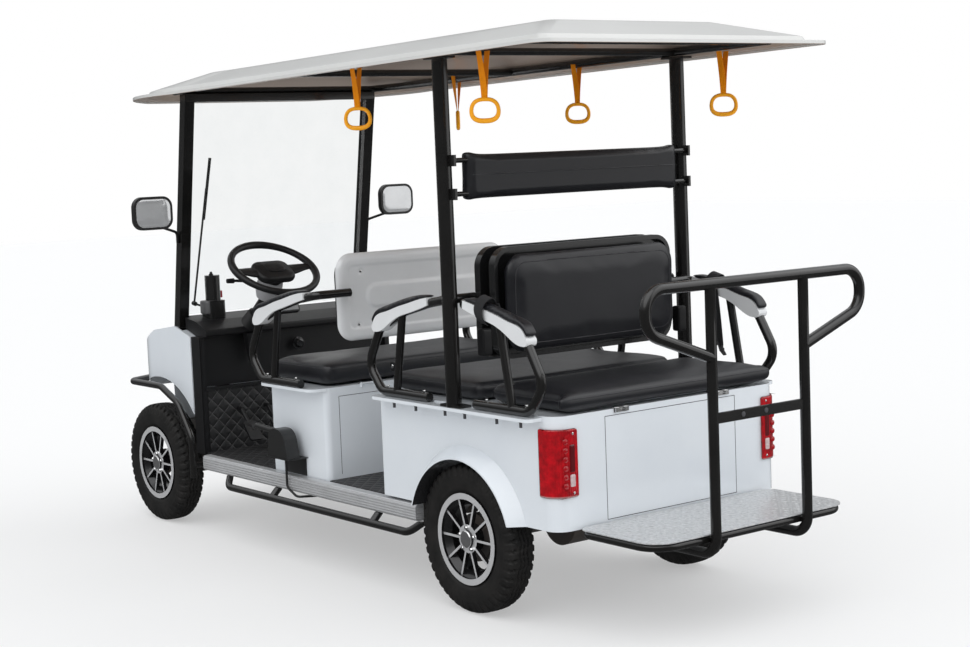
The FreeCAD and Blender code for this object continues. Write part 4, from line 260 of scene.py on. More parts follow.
def piece(name, points, faces, look, body, slot, sharp=40.0, stands_for=None):
    """A mesh from arrays of points and faces, on one body. Doubles are merged, faces turned outward, and
    edges are sharp past an angle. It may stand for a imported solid."""
    mesh = bpy.data.meshes.new(name)
    mesh.from_pydata(np.asarray(points).reshape(-1, 3).tolist(), [], np.asarray(faces).tolist())
    work = bmesh.new()
    work.from_mesh(mesh)
    bmesh.ops.remove_doubles(work, verts=work.verts, dist=0.00001)
    bmesh.ops.dissolve_degenerate(work, edges=work.edges, dist=0.000001)
    bmesh.ops.recalc_face_normals(work, faces=work.faces)
    work.to_mesh(mesh)
    work.free()
    mesh.shade_smooth()
    mesh.set_sharp_from_angle(angle=math.radians(sharp))
    mesh.materials.append(look)
    obj = bpy.data.objects.new(name, mesh)
    scene.collection.objects.link(obj)
    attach(obj, body)
    if stands_for:
        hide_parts(stands_for)
    return obj


def many(blocks):
    """One array of points and one of faces from several pairs, each block's corner numbers moved along."""
    points, faces, first = [], [], 0
    for p, f in blocks:
        p = np.asarray(p).reshape(-1, 3)
        points.append(p)
        faces.append(np.asarray(f) + first)
        first += len(p)
    return np.concatenate(points), np.concatenate(faces)


def corners(node):
    """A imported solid's low and high corner."""
    return [np.array(corner, float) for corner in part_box(node)]


def tyre_form():
    """Points of a tyre about the y axis. A closed profile of width and radius is turned in equal steps.
    Radius drops between the shoulder's blocks, where the angle's sawtooth is low, and where the width is
    within half a groove of a zigzag, which is a triangle wave of the angle."""
    half = np.array(TYRE_KNOTS)
    knots = np.concatenate([half * [-1, 1], half[::-1][1:]])
    run = np.concatenate([[0], np.cumsum(np.hypot(*np.diff(knots, axis=0).T))])
    place = np.linspace(0, run[-1], TYRE_COLUMNS)
    width, radius = (np.interp(place, run, knots[:, i]) for i in (0, 1))
    angle = turns(TYRE_ROWS)[:, None]
    step = angle * LUGS / (2 * np.pi)
    side = np.where(width > 0, 0.5, 0.0)[None, :]
    saw = (step + side + np.abs(width)[None, :] * 9) % 1
    edge = np.clip((np.abs(width) - 0.0300) / 0.003, 0, 1) * np.clip((radius - 0.2280) / 0.012, 0, 1)
    lug = np.clip((0.42 - saw) / 0.1, 0, 1) * np.clip(saw / 0.06, 0, 1) * edge[None, :] * LUG_DEPTH
    zigzag = 0.0045 * (2 * np.abs(2 * ((step / 2) % 1) - 1) - 1)
    grooves = sum(np.clip(1.7 - np.abs(width[None, :] - zigzag - middle) / 0.0030, 0, 1)
                  for middle in GROOVES)
    depth = lug + np.where(radius > 0.26, np.minimum(grooves, 1), 0) * GROOVE_DEPTH
    rings = sum(np.exp(-((radius - r) / 0.0016) ** 2) for r in SIDE_RINGS) * RING_RISE
    reach = radius[None, :] - depth
    across = np.broadcast_to(width + np.sign(width) * rings, reach.shape)
    return np.stack([reach * np.sin(angle), across, reach * np.cos(angle)], -1)


def disc_stack(profile, count, centre, axis="y"):
    """A turned form: (radius, height) pairs carried round an axis in a number of flats, its ends closed."""
    profile = np.array(profile)
    angle = turns(count)[:, None]
    r, h = profile[None, :, 0], profile[None, :, 1]
    ring = [r * np.cos(angle), r * np.sin(angle), np.broadcast_to(h, (count, len(profile)))]
    order = {"x": (2, 0, 1), "y": (0, 2, 1), "z": (0, 1, 2)}[axis]
    return np.stack([ring[i] for i in order], -1) + np.array(centre), quads(count, len(profile), True, False)


rubber = finish("tyre_rubber", (0.009, 0.0088, 0.0086), 0.6, second=(0.019, 0.0175, 0.0165), gloss=0.25,
                cloud=12.0, grain=0.3, grain_size=500.0)


def machined(tree, coords):
    """Bright where a face looks out along the axle: the lip, the spokes' fronts and the hub."""
    out = sums(tree, "ABSOLUTE", split(tree, outward(tree))[1])
    mask = spread_over(tree, out, From_Min=0.72, From_Max=0.86)
    return speckle(tree, coords, 260.0), 0.0002, mask, MACHINED


alloy = finish("alloy", (0.014, 0.014, 0.015), 0.24, metal=0.5, coat=0.4, second=(0.02, 0.02, 0.021),
               cloud=20.0, pattern=machined)
bright = finish("bright_steel", (0.7, 0.7, 0.7), 0.16, metal=1.0)
form = tyre_form()
nut = np.array([(0, 0), (NUT_RADIUS, 0), (NUT_RADIUS, 0.008), (0.005, 0.012), (0, 0.012)])
cap = np.array([(0, 0), (0.030, 0), (0.031, 0.0105), (0.028, 0.013), (0.012, 0.0135), (0, 0.0135)])
around = turns(NUTS)
circle = np.stack([NUT_CIRCLE * np.sin(around), 0 * around, NUT_CIRCLE * np.cos(around)], -1)
for place in ("front_left", "front_right", "rear_left", "rear_right"):
    out = 1 if place.endswith("left") else -1
    body = "wheel_" + place
    low, high = corners("tyre_" + place)
    hub = (low + high) / 2
    piece(body + "_tyre", form * [1, out, 1] + hub, quads(TYRE_ROWS, TYRE_COLUMNS), rubber, body, "tyre", 30,
          "tyre_" + place)
    dress(alloy, "rim_" + place, edge=0.001)
    face = hub + [0, out * RIM_FACE, 0]
    parts = [disc_stack(nut * [1, out], 6, face + spot) for spot in circle]
    parts.append(disc_stack(cap * [1, out], 40, face))
    piece(body + "_nuts", *many(parts), bright, body, "rim", 25)

# Rear body, seat box and cowl: gloss white mouldings, a little blue in the shade, with softly broken edges.
# The rear body carries a removable panel between two seams, held by two chrome toggle clips, and dark bolts
# under both side lips. The seat box has a seamed panel at the back.
# The arch tone is black painted shade for the insides of the wheel arches.
BODY_WHITE, SEAM_DARK, ARCH_SHADE_BLACK = (0.68, 0.718, 0.76), (0.05, 0.05, 0.055), (0.02, 0.02, 0.021)
PANEL_HALF, PANEL_LOW, PANEL_HIGH, SEAM, SEAM_DEPTH = 0.315, 0.377, 0.735, 0.0022, 0.001
BOX_BACK, BOX_PANEL_HALF, BOX_PANEL_LOW, BOX_PANEL_HIGH = 0.1096, 0.44, 0.372, 0.69
CLIP_PLACES = (0.242, -0.248)
CLIP_BLOCKS = ((0.003, -0.0006, 0, 0.034, 0.7435, 0.7615), (0.010, 0.002, -0.021, 0.009, 0.7455, 0.7600),
               (0.010, 0.002, 0.021, 0.009, 0.7455, 0.7600), (0.008, 0.0055, 0, 0.013, 0.7515, 0.7545))
LIP_BOLTS, LIP_BOLT_Y, LIP_UNDER = (-1.235, -1.104, -0.922, -0.806, -0.627, -0.490), 0.585, 0.7398
AXLE_X, AXLE_Z, ARCH_REACH = -0.862, 0.272, 0.34


def slabs(spans):
    """Blocks between pairs of opposite corners, as one array. Each corner takes its own low or high
    coordinate."""
    pick = np.array([[i, j, k] for i in (0, 1) for j in (0, 1) for k in (0, 1)])
    sides = np.array([[0, 1, 3, 2], [4, 6, 7, 5], [0, 4, 5, 1], [2, 3, 7, 6], [0, 2, 6, 4], [1, 5, 7, 3]])
    spans = np.array(spans, float).reshape(-1, 2, 3)
    points = np.stack([spans[:, pick[:, i], i] for i in range(3)], -1)
    return points.reshape(-1, 3), (sides[None] + 8 * np.arange(len(spans))[:, None, None]).reshape(-1, 4)


def bolt_heads(spots, radius, height, axis, way, flats):
    """Low domed heads standing on a face at each spot."""
    profile = np.array([(0, -0.001), (1, -0.001), (1, 0.45), (0.8, 0.85), (0.45, 1.0), (0, 1.0)])
    profile = profile * [radius, height * way]
    return many([disc_stack(profile, flats, spot, axis) for spot in spots])


def arch_painted_shade(tree, coords):
    """Painted shade inside the wheel arches: black close round the axle, where the face looks back at it."""
    def vectors(operation, first, second=(0, 0, 0)):
        return joined(tree, "ShaderNodeVectorMath", operation=operation, i0=first, i1=second).outputs
    level = vectors("MULTIPLY", vectors("SUBTRACT", coords, (AXLE_X, 0, AXLE_Z))[0], (1, 0, 1))[0]
    near = sums(tree, "LESS_THAN", vectors("LENGTH", level)["Value"], ARCH_REACH)
    back = sums(tree, "LESS_THAN", vectors("DOT_PRODUCT", level, outward(tree))["Value"], -0.15)
    return speckle(tree, coords, 3.0), 0.0008, sums(tree, "MULTIPLY", near, back), ARCH_SHADE_BLACK


def panel_seam(back, half, low, high, levels):
    """Strips down both sides of a panel, and across it at some heights."""
    strips = [((back, y - SEAM / 2, low), (back + SEAM_DEPTH, y + SEAM / 2, high)) for y in (-half, half)]
    return strips + [((back, -half, z - SEAM / 2), (back + SEAM_DEPTH, half, z + SEAM / 2)) for z in levels]


# Inside the wheel arches the white body's finish turns black: painted shade.
body_white = finish("body_white", BODY_WHITE, 0.24, coat=0.7, second=(0.72, 0.755, 0.79), cloud=3.0,
                    spread=0.04, grain=0.02, grain_size=60.0, pattern=arch_painted_shade)
dress(body_white, "rear_body", "seat_box", "front_cowl", edge=0.003)
gap_black = finish("seam_gap", SEAM_DARK, 0.7)
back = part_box("rear_body")[0][0] - 0.0004
seams = panel_seam(back, PANEL_HALF, PANEL_LOW, PANEL_HIGH, (PANEL_LOW, PANEL_HIGH))
seams += panel_seam(BOX_BACK, BOX_PANEL_HALF, BOX_PANEL_LOW, BOX_PANEL_HIGH, (BOX_PANEL_HIGH,))
piece("panel_seams", *slabs(seams), gap_black, "cart", "white_body")
clips = [((back - near, y + over - half, low), (back - far, y + over + half, high))
         for y in CLIP_PLACES for near, far, over, half, low, high in CLIP_BLOCKS]
piece("toggle_clips", *slabs(clips), bright, "cart", "white_body")
shank = [(0, 0.001), (0.0095, 0.001), (0.0095, -0.003), (0.0055, -0.003), (0.0055, -0.022), (0, -0.022)]
spots = [(x, s * LIP_BOLT_Y, LIP_UNDER) for s in (-1, 1) for x in LIP_BOLTS]
piece("lip_bolts", *many([disc_stack(shank, 14, spot, "z") for spot in spots]), gap_black, "cart",
      "black_tube", 25)

# Roof: one thin off-white moulding with a stepped rim, on the roof tubes. Its unpainted underside is a warm
# beige.
ROOF_WHITE, ROOF_BEIGE = (0.59, 0.59, 0.578), (0.42, 0.335, 0.28)


def lining(tree, coords):
    """The faces that look down take the lining's tone."""
    down = sums(tree, "LESS_THAN", split(tree, outward(tree))[2], -0.3)
    return speckle(tree, coords, 30.0), 0.0002, down, ROOF_BEIGE


roof_white = finish("roof_white", ROOF_WHITE, 0.3, coat=0.4, second=(0.63, 0.63, 0.615), cloud=2.0,
                    pattern=lining)
dress(roof_white, "roof", edge=0.002)

# Tail and head lamps: fluted mouldings screwed to the body's corners and nose. The tail lamps are red, with a
# paler band at the foot.
FLUTE_PITCH, FLUTE_DEPTH = 0.009, 0.0006
LAMP_RED, LAMP_SHADE, LAMP_BAND = (0.50, 0.004, 0.010), (0.20, 0.002, 0.005), (0.5, 0.38, 0.37)


def lamp_glass(name, colour, second, band=None):
    """Glossy lens over upright flutes, which are a sine across the cart. A band's tone is full below its
    first height and gone above its second."""
    def flutes(tree, coords):
        _, y, z = split(tree, coords)
        flute = wave(tree, y, FLUTE_PITCH)
        if band is None:
            return flute, FLUTE_DEPTH, None, None
        return flute, FLUTE_DEPTH, spread_over(tree, z, From_Min=band[1], From_Max=band[0]), band[2]
    look = finish(name, colour, 0.12, coat=0.5, second=second, cloud=38.0, pattern=flutes, gloss=0.3)
    look.node_tree.nodes["Principled BSDF"].inputs["Coat Roughness"].default_value = 0.02
    return look


dress(lamp_glass("lamp_red", LAMP_RED, LAMP_SHADE, (0.478, 0.486, LAMP_BAND)), "tail_lamps", edge=0.009)
dress(lamp_glass("lamp_clear", (0.55, 0.57, 0.6), (0.7, 0.72, 0.74)), "headlamps", edge=0.002)
lamp_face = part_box("tail_lamps")[0][0]
screws = [(lamp_face - 0.0002, s * 0.470, z) for s in (-1, 1) for z in (0.697, 0.494)]
piece("lamp_screws", *bolt_heads(screws, 0.0045, 0.002, "x", -1, 14), bright, "cart", "lamp_red")

# Seats: foam on a board under smooth black vinyl, rounded at every edge. Each skin is blown up a little by a
# cloth pressure run, so that its faces crown and its sides pull in at the corners.
VINYL, VINYL_PALE = (0.0075, 0.0079, 0.0108), (0.0112, 0.0116, 0.0145)
SWELL, PRESSURE_FRAMES, FILL = 0.010, 20, 0.9
ROLL_HALF, ROD_X, POST_Y, ROD_HEIGHTS = 0.519, -0.882, 0.563, (1.506, 1.624)
vinyl = finish("vinyl", VINYL, 0.4, second=VINYL_PALE, cloud=7.0, spread=0.07, grain=0.35,
               grain_size=520.0, cells=True)
stuffed = []


def pillow(low, high, corner, edge, crown, thin=2, rings=30, arc=9, straight=22):
    """Closed form between two corners, thick along the thin axis. Its plan is a rounded rectangle: four arcs
    of points and the straight runs between them. Going in from the plan's edge the thickness follows a
    quarter round of the edge's radius and then a parabola up to the crown."""
    low, high = np.array(low, float), np.array(high, float)
    axes = [i for i in range(3) if i != thin] + [thin]
    half = (high - low)[axes] / 2
    turn = np.concatenate([np.concatenate([np.linspace(k, k + 1, arc), np.full(straight, k + 1)])
                           for k in range(4)]) * np.pi / 2
    ends = np.array([(1, 1), (-1, 1), (-1, -1), (1, -1), (1, 1)], float)
    share = np.linspace(0, 1, straight + 2)[1:-1, None]
    core = np.concatenate([np.concatenate([np.repeat(ends[k:k + 1], arc, 0),
                                           ends[k] + share * (ends[k + 1] - ends[k])]) for k in range(4)])
    reach = half[:2].min()
    inset = np.concatenate([edge * (1 - np.cos(np.linspace(0, np.pi / 2, 8))),
                            edge + (reach - edge) * np.linspace(0, 1, rings - 7)[1:]])
    radius = np.maximum(corner - inset, 0)[None, :, None]
    span = np.maximum(half[:2] - inset[:, None], 0)[None]
    arcs = np.stack([np.cos(turn), np.sin(turn)], -1)[:, None]
    plan = core[:, None] * np.maximum(span - radius, 0) + radius * arcs
    within = np.clip((inset - edge) / (reach - edge), 0, 1)
    rise = np.sqrt(np.clip(1 - (1 - np.clip(inset / edge, 0, 1)) ** 2, 0, 1))
    height = half[2] - edge - crown + edge * rise + crown * (1 - (1 - within) ** 2)
    height = np.broadcast_to(height, plan.shape[:2])
    sides = [np.concatenate([plan, s * height[..., None]], -1) for s in (1, -1)]
    points = np.concatenate([sides[0][:, ::-1], sides[1]], 1)
    back = np.empty_like(points)
    back[..., axes] = points
    return back + (low + high) / 2, quads(len(turn), points.shape[1], True, False)


def skin(name, shape, body, voxel, keep_low, keep_high, node):
    """A padded piece. Its form is remeshed evenly and waits for the pressure run, which all skins share."""
    obj = piece(name, *shape, vinyl, body, "black_vinyl", 180, node)
    even = obj.modifiers.new("even", "REMESH")
    even.mode = "VOXEL"
    even.voxel_size = voxel
    even.use_smooth_shade = True
    view = bpy.context.evaluated_depsgraph_get()
    mesh = bpy.data.meshes.new_from_object(obj.evaluated_get(view))
    obj.modifiers.clear()
    obj.data = mesh
    cloth = obj.modifiers.new("pressure", "CLOTH").settings
    cloth.quality = 4
    cloth.use_pressure = True
    cloth.uniform_pressure_force = 4.0
    cloth.tension_stiffness = cloth.compression_stiffness = 18
    cloth.effector_weights.gravity = 0
    cloth.mass = 0.4
    stuffed.append((obj, np.array(keep_low), np.array(keep_high)))
    return obj


def coordinates(mesh):
    """A mesh's points as one array."""
    flat = np.empty(len(mesh.vertices) * 3)
    mesh.vertices.foreach_get("co", flat)
    return flat.reshape(-1, 3)


def blow_up():
    """Runs the pressure on all the skins at once, caps each point's travel and keeps it inside its limits."""
    for frame_number in range(1, PRESSURE_FRAMES + 1):
        scene.frame_set(frame_number)
    view = bpy.context.evaluated_depsgraph_get()
    for obj, low, high in stuffed:
        start = coordinates(obj.data)
        moved = coordinates(obj.evaluated_get(view).data) - start
        travel = np.linalg.norm(moved, axis=1, keepdims=True)
        moved *= np.minimum(1, SWELL / np.maximum(travel, 1e-9))
        final = np.clip(start + moved, low, high)
        obj.modifiers.clear()
        obj.data.vertices.foreach_set("co", final.ravel())
        obj.data.update()
        obj.data.shade_smooth()
        finer = obj.modifiers.new("finer", "SUBSURF")
        finer.levels = finer.render_levels = 1
    scene.frame_set(1)


def cushion(name, node, body, trim=(0.0, 0.0), lift=0.0, wing=None):
    """A bench: the pillow starts a few millimetres inside its solid and stays flat underneath. A wing is
    where along x the bench's full width ends, and its width ahead of there."""
    low, high = corners(node)
    low[0] += trim[0]
    high[0] -= trim[1]
    low[2] += lift
    points, faces = pillow(low + [0.005, 0.005, 0.001], high - 0.005, corner=0.05, edge=0.024, crown=0.008)
    if wing:
        share = np.clip((points[..., 0] - wing[0]) / 0.012, 0, 1)
        points[..., 1] *= 1 - share * (1 - wing[1] / high[1])
    points[..., 2] = np.maximum(points[..., 2], low[2] + 0.001)
    return skin(name, (points, faces), body, 0.015, low + [0, 0, 0.0005], high + [0, 0, 0.004], node)


cushion("front_bench", "front_cushion", "front_seat", trim=(0.0175, 0), lift=0.004)
cushion("middle_bench", "mid_cushion", "cart")
cushion("rear_bench", "rear_cushion", "rear_seat", trim=(0, 0.0135), lift=0.002, wing=(-1.35, 0.498))
for row, facing in (("front", 1), ("mid", 1), ("rear", -1)):
    low, high = corners(row + "_back_pad")
    shape = pillow(low + 0.003, high - 0.003, corner=0.085, edge=0.017, crown=0.006, thin=0)
    skin(row + "_backrest", shape, "cart", 0.013, low - [0.004 * (facing < 0), 0, 0],
         high + [0.004 * (facing > 0), 0, 0], row + "_back_pad")
low, high = corners("upper_roll")
low[1], high[1] = -ROLL_HALF, ROLL_HALF
inset = np.array([0.003, 0.001, 0.003])
shape = pillow(low + inset, high - inset, corner=0.010, edge=0.020, crown=0.003, thin=0)
skin("roll_pad", shape, "cart", 0.012, low, high, "upper_roll")


def closed(rings):
    """Rings of points with both ends closed by a ring drawn together at its middle."""
    ends = [np.repeat(rings[i].mean(0)[None, None], rings.shape[1], 1) for i in (0, -1)]
    return np.concatenate([ends[0], rings, ends[1]])


def rod(path, radius, sides=16, flat=1.0):
    """A round bar along a path of points: rings across the path's direction, closed at both ends."""
    path = np.array(path, float)
    run = np.gradient(path, axis=0)
    run /= np.linalg.norm(run, axis=1, keepdims=True)
    guide = np.array([0.0, 0, 1]) if np.abs(run[:, 2]).max() < 0.95 else np.array([1.0, 0, 0])
    side = np.cross(run, guide)
    side /= np.linalg.norm(side, axis=1, keepdims=True)
    up = np.cross(side, run)
    turn = turns(sides)
    radius = np.broadcast_to(radius, len(path))[:, None, None]
    rings = path[:, None] + radius * (side[:, None] * np.cos(turn)[:, None]
                                      + flat * up[:, None] * np.sin(turn)[:, None])
    rings = closed(rings)
    return rings, quads(len(rings), sides, False, True)


rods = [rod([(ROD_X, y, z) for y in (-POST_Y, 0, POST_Y)], 0.009) for z in ROD_HEIGHTS]
piece("roll_rods", *many(rods), tube_black, "cart", "black_tube")

# Backrest shells: the front bench's is gloss white, pressed with a rounded border, a step, a long raised pill
# and four screwed dimples. The two rear ones are gloss black frames round their pads.
SHELL_DEPTH, PILL_RISE, DIMPLES, DIMPLE_MIDDLE = 0.022, 0.008, ((0.318, 0.102), (0.335, -0.112)), 1.085
SHELL_ROWS, SHELL_COLUMNS = 80, 184


def shell_form(low, high, corner):
    """A moulded panel seen from behind. Grid points outside the rounded corners are drawn in onto them. Going
    in from the outline, depth follows a quarter round, then a small step down. It rises by a ramp inside the
    pill, and dips by a bell curve at each screw."""
    half = (high - low)[1:] / 2
    v, u = np.meshgrid(np.linspace(-1, 1, SHELL_ROWS) * half[1], np.linspace(-1, 1, SHELL_COLUMNS) * half[0],
                       indexing="ij")
    flat = np.stack([u, v], -1)
    out = np.maximum(np.abs(flat) - (half - corner), 0)
    reach = np.hypot(out[..., 0], out[..., 1])
    pull = np.where(reach > corner, corner / np.maximum(reach, 1e-9), 1)[..., None]
    flat = np.sign(flat) * (np.abs(flat) - out * (1 - pull))
    inside = np.minimum(corner - np.minimum(reach, corner), (half - np.abs(flat)).min(-1))
    deep = SHELL_DEPTH * np.sqrt(np.clip(1 - (1 - np.clip(inside / 0.030, 0, 1)) ** 2, 0, 1))
    deep -= 0.004 * np.clip((inside - 0.046) / 0.008, 0, 1)
    pill = 0.052 - np.hypot(np.maximum(np.abs(flat[..., 0]) - 0.25, 0), flat[..., 1])
    deep += PILL_RISE * np.clip(pill / 0.014, 0, 1)
    for y, z in DIMPLES:
        spot = np.hypot(np.abs(flat[..., 0]) - y, flat[..., 1] - z)
        deep -= 0.005 * np.exp(-(spot / 0.011) ** 4)
    middle = (low + high)[1:] / 2
    front = np.stack([high[0] - deep, flat[..., 0] + middle[0], flat[..., 1] + middle[1]], -1)
    flush = np.stack([np.full_like(deep, high[0]), front[..., 1], front[..., 2]], -1)
    points = np.concatenate([front, flush[:, ::-1]], 1)
    return points, quads(SHELL_ROWS, 2 * SHELL_COLUMNS, False, True)


white_trim = finish("white_trim", (0.66, 0.67, 0.68), 0.26, coat=0.5, second=(0.71, 0.72, 0.73), cloud=5.0)
gloss_black = finish("gloss_black", (0.009, 0.009, 0.0095), 0.2, coat=0.4, gloss=0.35, cloud=4.0)
low, high = corners("front_back_shell")
piece("back_cover", *shell_form(low + [0.008, 0, 0], high, 0.072), white_trim, "cart", "white_trim", 34,
      "front_back_shell")
spots = [(high[0] - 0.0145, s * y, DIMPLE_MIDDLE + z) for s in (-1, 1) for y, z in DIMPLES]
piece("cover_screws", *bolt_heads(spots, 0.0055, 0.002, "x", -1, 14), bright, "cart", "white_trim")
dress(gloss_black, "mid_back_shell", "rear_back_shell", edge=0.006)
dress(white_trim, "armrest_trims", edge=0.002)

# Armrests: a thick vinyl pad over each tube's front bend, with a rounded nose. The white trims under them
# stay as packed. Short bright bolts hold the tubes to the lips.
FEET = ((0.235, 0.7645), (0.455, 0.7645), (-0.65, 0.7885), (-0.42, 0.7885), (-1.24, 0.7885), (-1.02, 0.7885))
FOOT_Y = 0.560


def solid_form(node):
    """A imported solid's own triangles as arrays."""
    mesh = nodes[node].data
    mesh.calc_loop_triangles()
    faces = np.empty(len(mesh.loop_triangles) * 3, int)
    mesh.loop_triangles.foreach_get("vertices", faces)
    place = np.array(nodes[node].matrix_world)
    return coordinates(mesh) @ place[:3, :3].T + place[:3, 3], faces.reshape(-1, 3)


low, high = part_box("armrest_pads")
pads = skin("armrest_skins", solid_form("armrest_pads"), "cart", 0.007, low, high, "armrest_pads")
work = bmesh.new()
work.from_mesh(pads.data)
for _ in range(3):
    bmesh.ops.smooth_vert(work, verts=work.verts, factor=0.5, use_axis_x=True, use_axis_y=True,
                          use_axis_z=True)
work.to_mesh(pads.data)
work.free()
blow_up()
spots = [(x, s * FOOT_Y, z) for s in (-1, 1) for x, z in FEET]
piece("foot_bolts", *bolt_heads(spots, 0.0065, 0.006, "z", 1, 6), bright, "cart", "black_tube")

# Steering: a padded wheel on two broad spokes with a deep moulded boss, a pale cover over the column's joint,
# a ribbed boot where the column meets the dash, and one stalk.
WHEEL_CENTRE, WHEEL_TILT = np.array([0.866, 0.258, 1.171]), math.radians(-31)
GRIP_REACH, GRIP_WIDE, GRIP_DEEP, GRIP_SWELL = 0.192, 0.0165, 0.0155, 0.06
ELBOW_DOWN, COLUMN_FOOT = 0.158, np.array([1.174, 0.258, 0.857])
BOOT_START, BOOT_PITCH, BOOT_RINGS = 0.118, 0.0065, 13


def turned(profile, count, start, end):
    """A turned form whose profile heights run from one point toward another."""
    way = Vector(end) - Vector(start)
    turn = np.array(Vector((0, 0, 1)).rotation_difference(way).to_matrix())
    points, faces = disc_stack(profile, count, (0, 0, 0), "z")
    return points @ turn.T + np.array(start), faces


tilt = np.array(Matrix.Rotation(WHEEL_TILT, 3, "Y"))
turn = turns(160)[:, None]
side = turns(22)[None, :]
swell = 1 + GRIP_SWELL * np.cos(4 * turn)
reach = GRIP_REACH + GRIP_WIDE * swell * np.cos(side)
grip = np.stack([reach * np.cos(turn), reach * np.sin(turn), GRIP_DEEP * swell * np.sin(side)], -1)
blocks = [(grip, quads(160, 22)),
          pillow((-0.072, -0.092, -0.046), (0.072, 0.092, 0.008), 0.046, 0.020, 0.007),
          pillow((-0.034, -0.046, 0.002), (0.034, 0.046, 0.0125), 0.026, 0.004, 0.002, rings=16)]
for s in (-1, 1):
    spoke = [(0.004, s * 0.070, -0.019), (0.004, s * 0.110, -0.015), (0.003, s * 0.150, -0.008),
             (0.0, s * 0.185, -0.002)]
    blocks.append(rod(spoke, (0.036, 0.032, 0.024, 0.020), 20, 0.42))
points, faces = many(blocks)
wheel_black = finish("wheel_black", (0.009, 0.009, 0.0095), 0.42, gloss=0.35, grain=0.25, cells=True,
                     cloud=8.0)
piece("wheel_grip", points @ tilt.T + WHEEL_CENTRE, faces, wheel_black, "steering_wheel", "wheel_black",
      stands_for="steering_wheel")
down = tilt @ np.array([0, 0, -1.0])
elbow = WHEEL_CENTRE + down * ELBOW_DOWN
lead = (COLUMN_FOOT - elbow) / np.linalg.norm(COLUMN_FOOT - elbow)
folds = [(0.029 + 0.0006 * k + 0.007 * (k % 2), BOOT_PITCH * k) for k in range(BOOT_RINGS)]
boot = turned([(0, 0)] + folds + [(0, folds[-1][1])], 36, elbow + lead * BOOT_START, COLUMN_FOOT)
stalk = rod([WHEEL_CENTRE + down * 0.085 + [0, 0.03, 0], (0.912, 0.375, 1.122), (0.914, 0.432, 1.128),
             (0.915, 0.436, 1.128), (0.915, 0.468, 1.129)], (0.006, 0.006, 0.006, 0.0115, 0.010), 16)
soft_plastic = finish("soft_plastic", (0.009, 0.009, 0.0098), 0.42, gloss=0.3, grain=0.35, grain_size=420.0,
                      cloud=5.0)
piece("column_boot", *many([boot, stalk]), soft_plastic, "cart", "wheel_black", 25)
cover = rod([WHEEL_CENTRE + down * d for d in (0.052, 0.056, 0.085, 0.125, 0.150, 0.156)],
            (0.045, 0.056, 0.061, 0.056, 0.047, 0.036), 40, 0.85)
cover_grey = finish("cover_grey", (0.30, 0.30, 0.31), 0.45, grain=0.2, cloud=10.0)
piece("column_cover", *cover, cover_grey, "cart", "gloss_black", 30)
dress(soft_plastic, "steering_column", "dashboard", "firewall", "pedals", edge=0.003)

# Dash: moulded black panel with a shelf along it, a cheek strip down its left side, a bracket under the
# column and a small display. The wiper motor stands on it: a black can with a cap over a die-cast gear case,
# with a red plug beside it.
DISPLAY_PLACE, DISPLAY_LEAN = (1.105, 0.05, 0.978), math.radians(24)


def prism(outline, span, axis):
    """A flat outline carried along one axis, with both ends closed."""
    outline = np.array(outline, float)
    count = len(outline)
    points = np.stack([np.insert(outline, axis, span[i], axis=1) for i in (0, 1)])
    sides = quads(2, count, False, True)
    fans = [[e * count, e * count + i, e * count + i + 1, e * count + i + 1]
            for e in (0, 1) for i in range(1, count - 1)]
    return points, np.concatenate([sides, np.array(fans)])


bracket, bracket_faces = prism([(0.226, 0.872), (0.292, 0.872), (0.262, 0.745), (0.250, 0.745)],
                               (1.098, 1.117), 0)
bracket[..., 0] -= (bracket[..., 0] < 1.1) * (bracket[..., 2] > 0.8) * 0.030
strips = slabs([((1.108, -0.47, 0.632), (1.1165, 0.495, 0.646)),
                ((1.1125, 0.488, 0.372), (1.1165, 0.506, 0.86))])
lean = np.array(Matrix.Rotation(DISPLAY_LEAN, 3, "Y"))
display = pillow((-0.012, -0.052, -0.036), (0.012, 0.052, 0.036), 0.012, 0.004, 0.0, thin=0, rings=11,
                 arc=5, straight=4)
display = (display[0] @ lean.T + DISPLAY_PLACE, display[1])
piece("dash_parts", *many([(bracket, bracket_faces), strips, display]), soft_plastic, "cart", "black_panel")
points, faces = pillow((-0.0148, -0.044, -0.028), (-0.0118, 0.044, 0.028), 0.006, 0.001, 0.0, thin=0,
                       rings=10, arc=5, straight=4)
display_glass = finish("display_glass", (0.06, 0.065, 0.07), 0.1, coat=1.0)
piece("display_screen", points @ lean.T + DISPLAY_PLACE, faces, display_glass, "cart", "black_panel")
dress(finish("motor_can", (0.012, 0.012, 0.012), 0.25, coat=0.3), "wiper_motor", edge=0.002)
wiper_black = finish("wiper_black", (0.013, 0.013, 0.013), 0.38, grain=0.1)
dress(wiper_black, "wiper", "mirrors", "parking_brake", edge=0.0015)
low, high = corners("wiper_motor")
can_x, can_y = ((low + high) / 2)[:2]
gear_case = pillow((low[0] + 0.004, low[1] - 0.0016, 0.962), (high[0] - 0.030, high[1] + 0.0016, 1.0235),
                   0.022, 0.006, 0.001, rings=12, arc=6, straight=4)
cast = finish("die_cast", (0.16, 0.16, 0.165), 0.5, metal=0.6, grain=0.3, grain_size=300.0)
piece("gear_case", *gear_case, cast, "cart", "motor_black")
knob = [(0, 0), (0.010, 0), (0.010, 0.006), (0.006, 0.009), (0.006, 0.016), (0, 0.017)]
knob = turned(knob, 20, (can_x - 0.017, can_y, high[2]), (can_x - 0.017, can_y, 2.0))
piece("motor_cap", *knob, gloss_black, "cart", "motor_black", 25)
red_plastic = finish("red_plastic", (0.42, 0.012, 0.02), 0.35)
plug = pillow((can_x - 0.004, low[1] - 0.014, 1.030), (can_x + 0.022, low[1] + 0.010, 1.062),
              0.005, 0.003, 0.0, rings=11, arc=4, straight=3)
piece("red_plug", *plug, red_plastic, "cart", "motor_black")
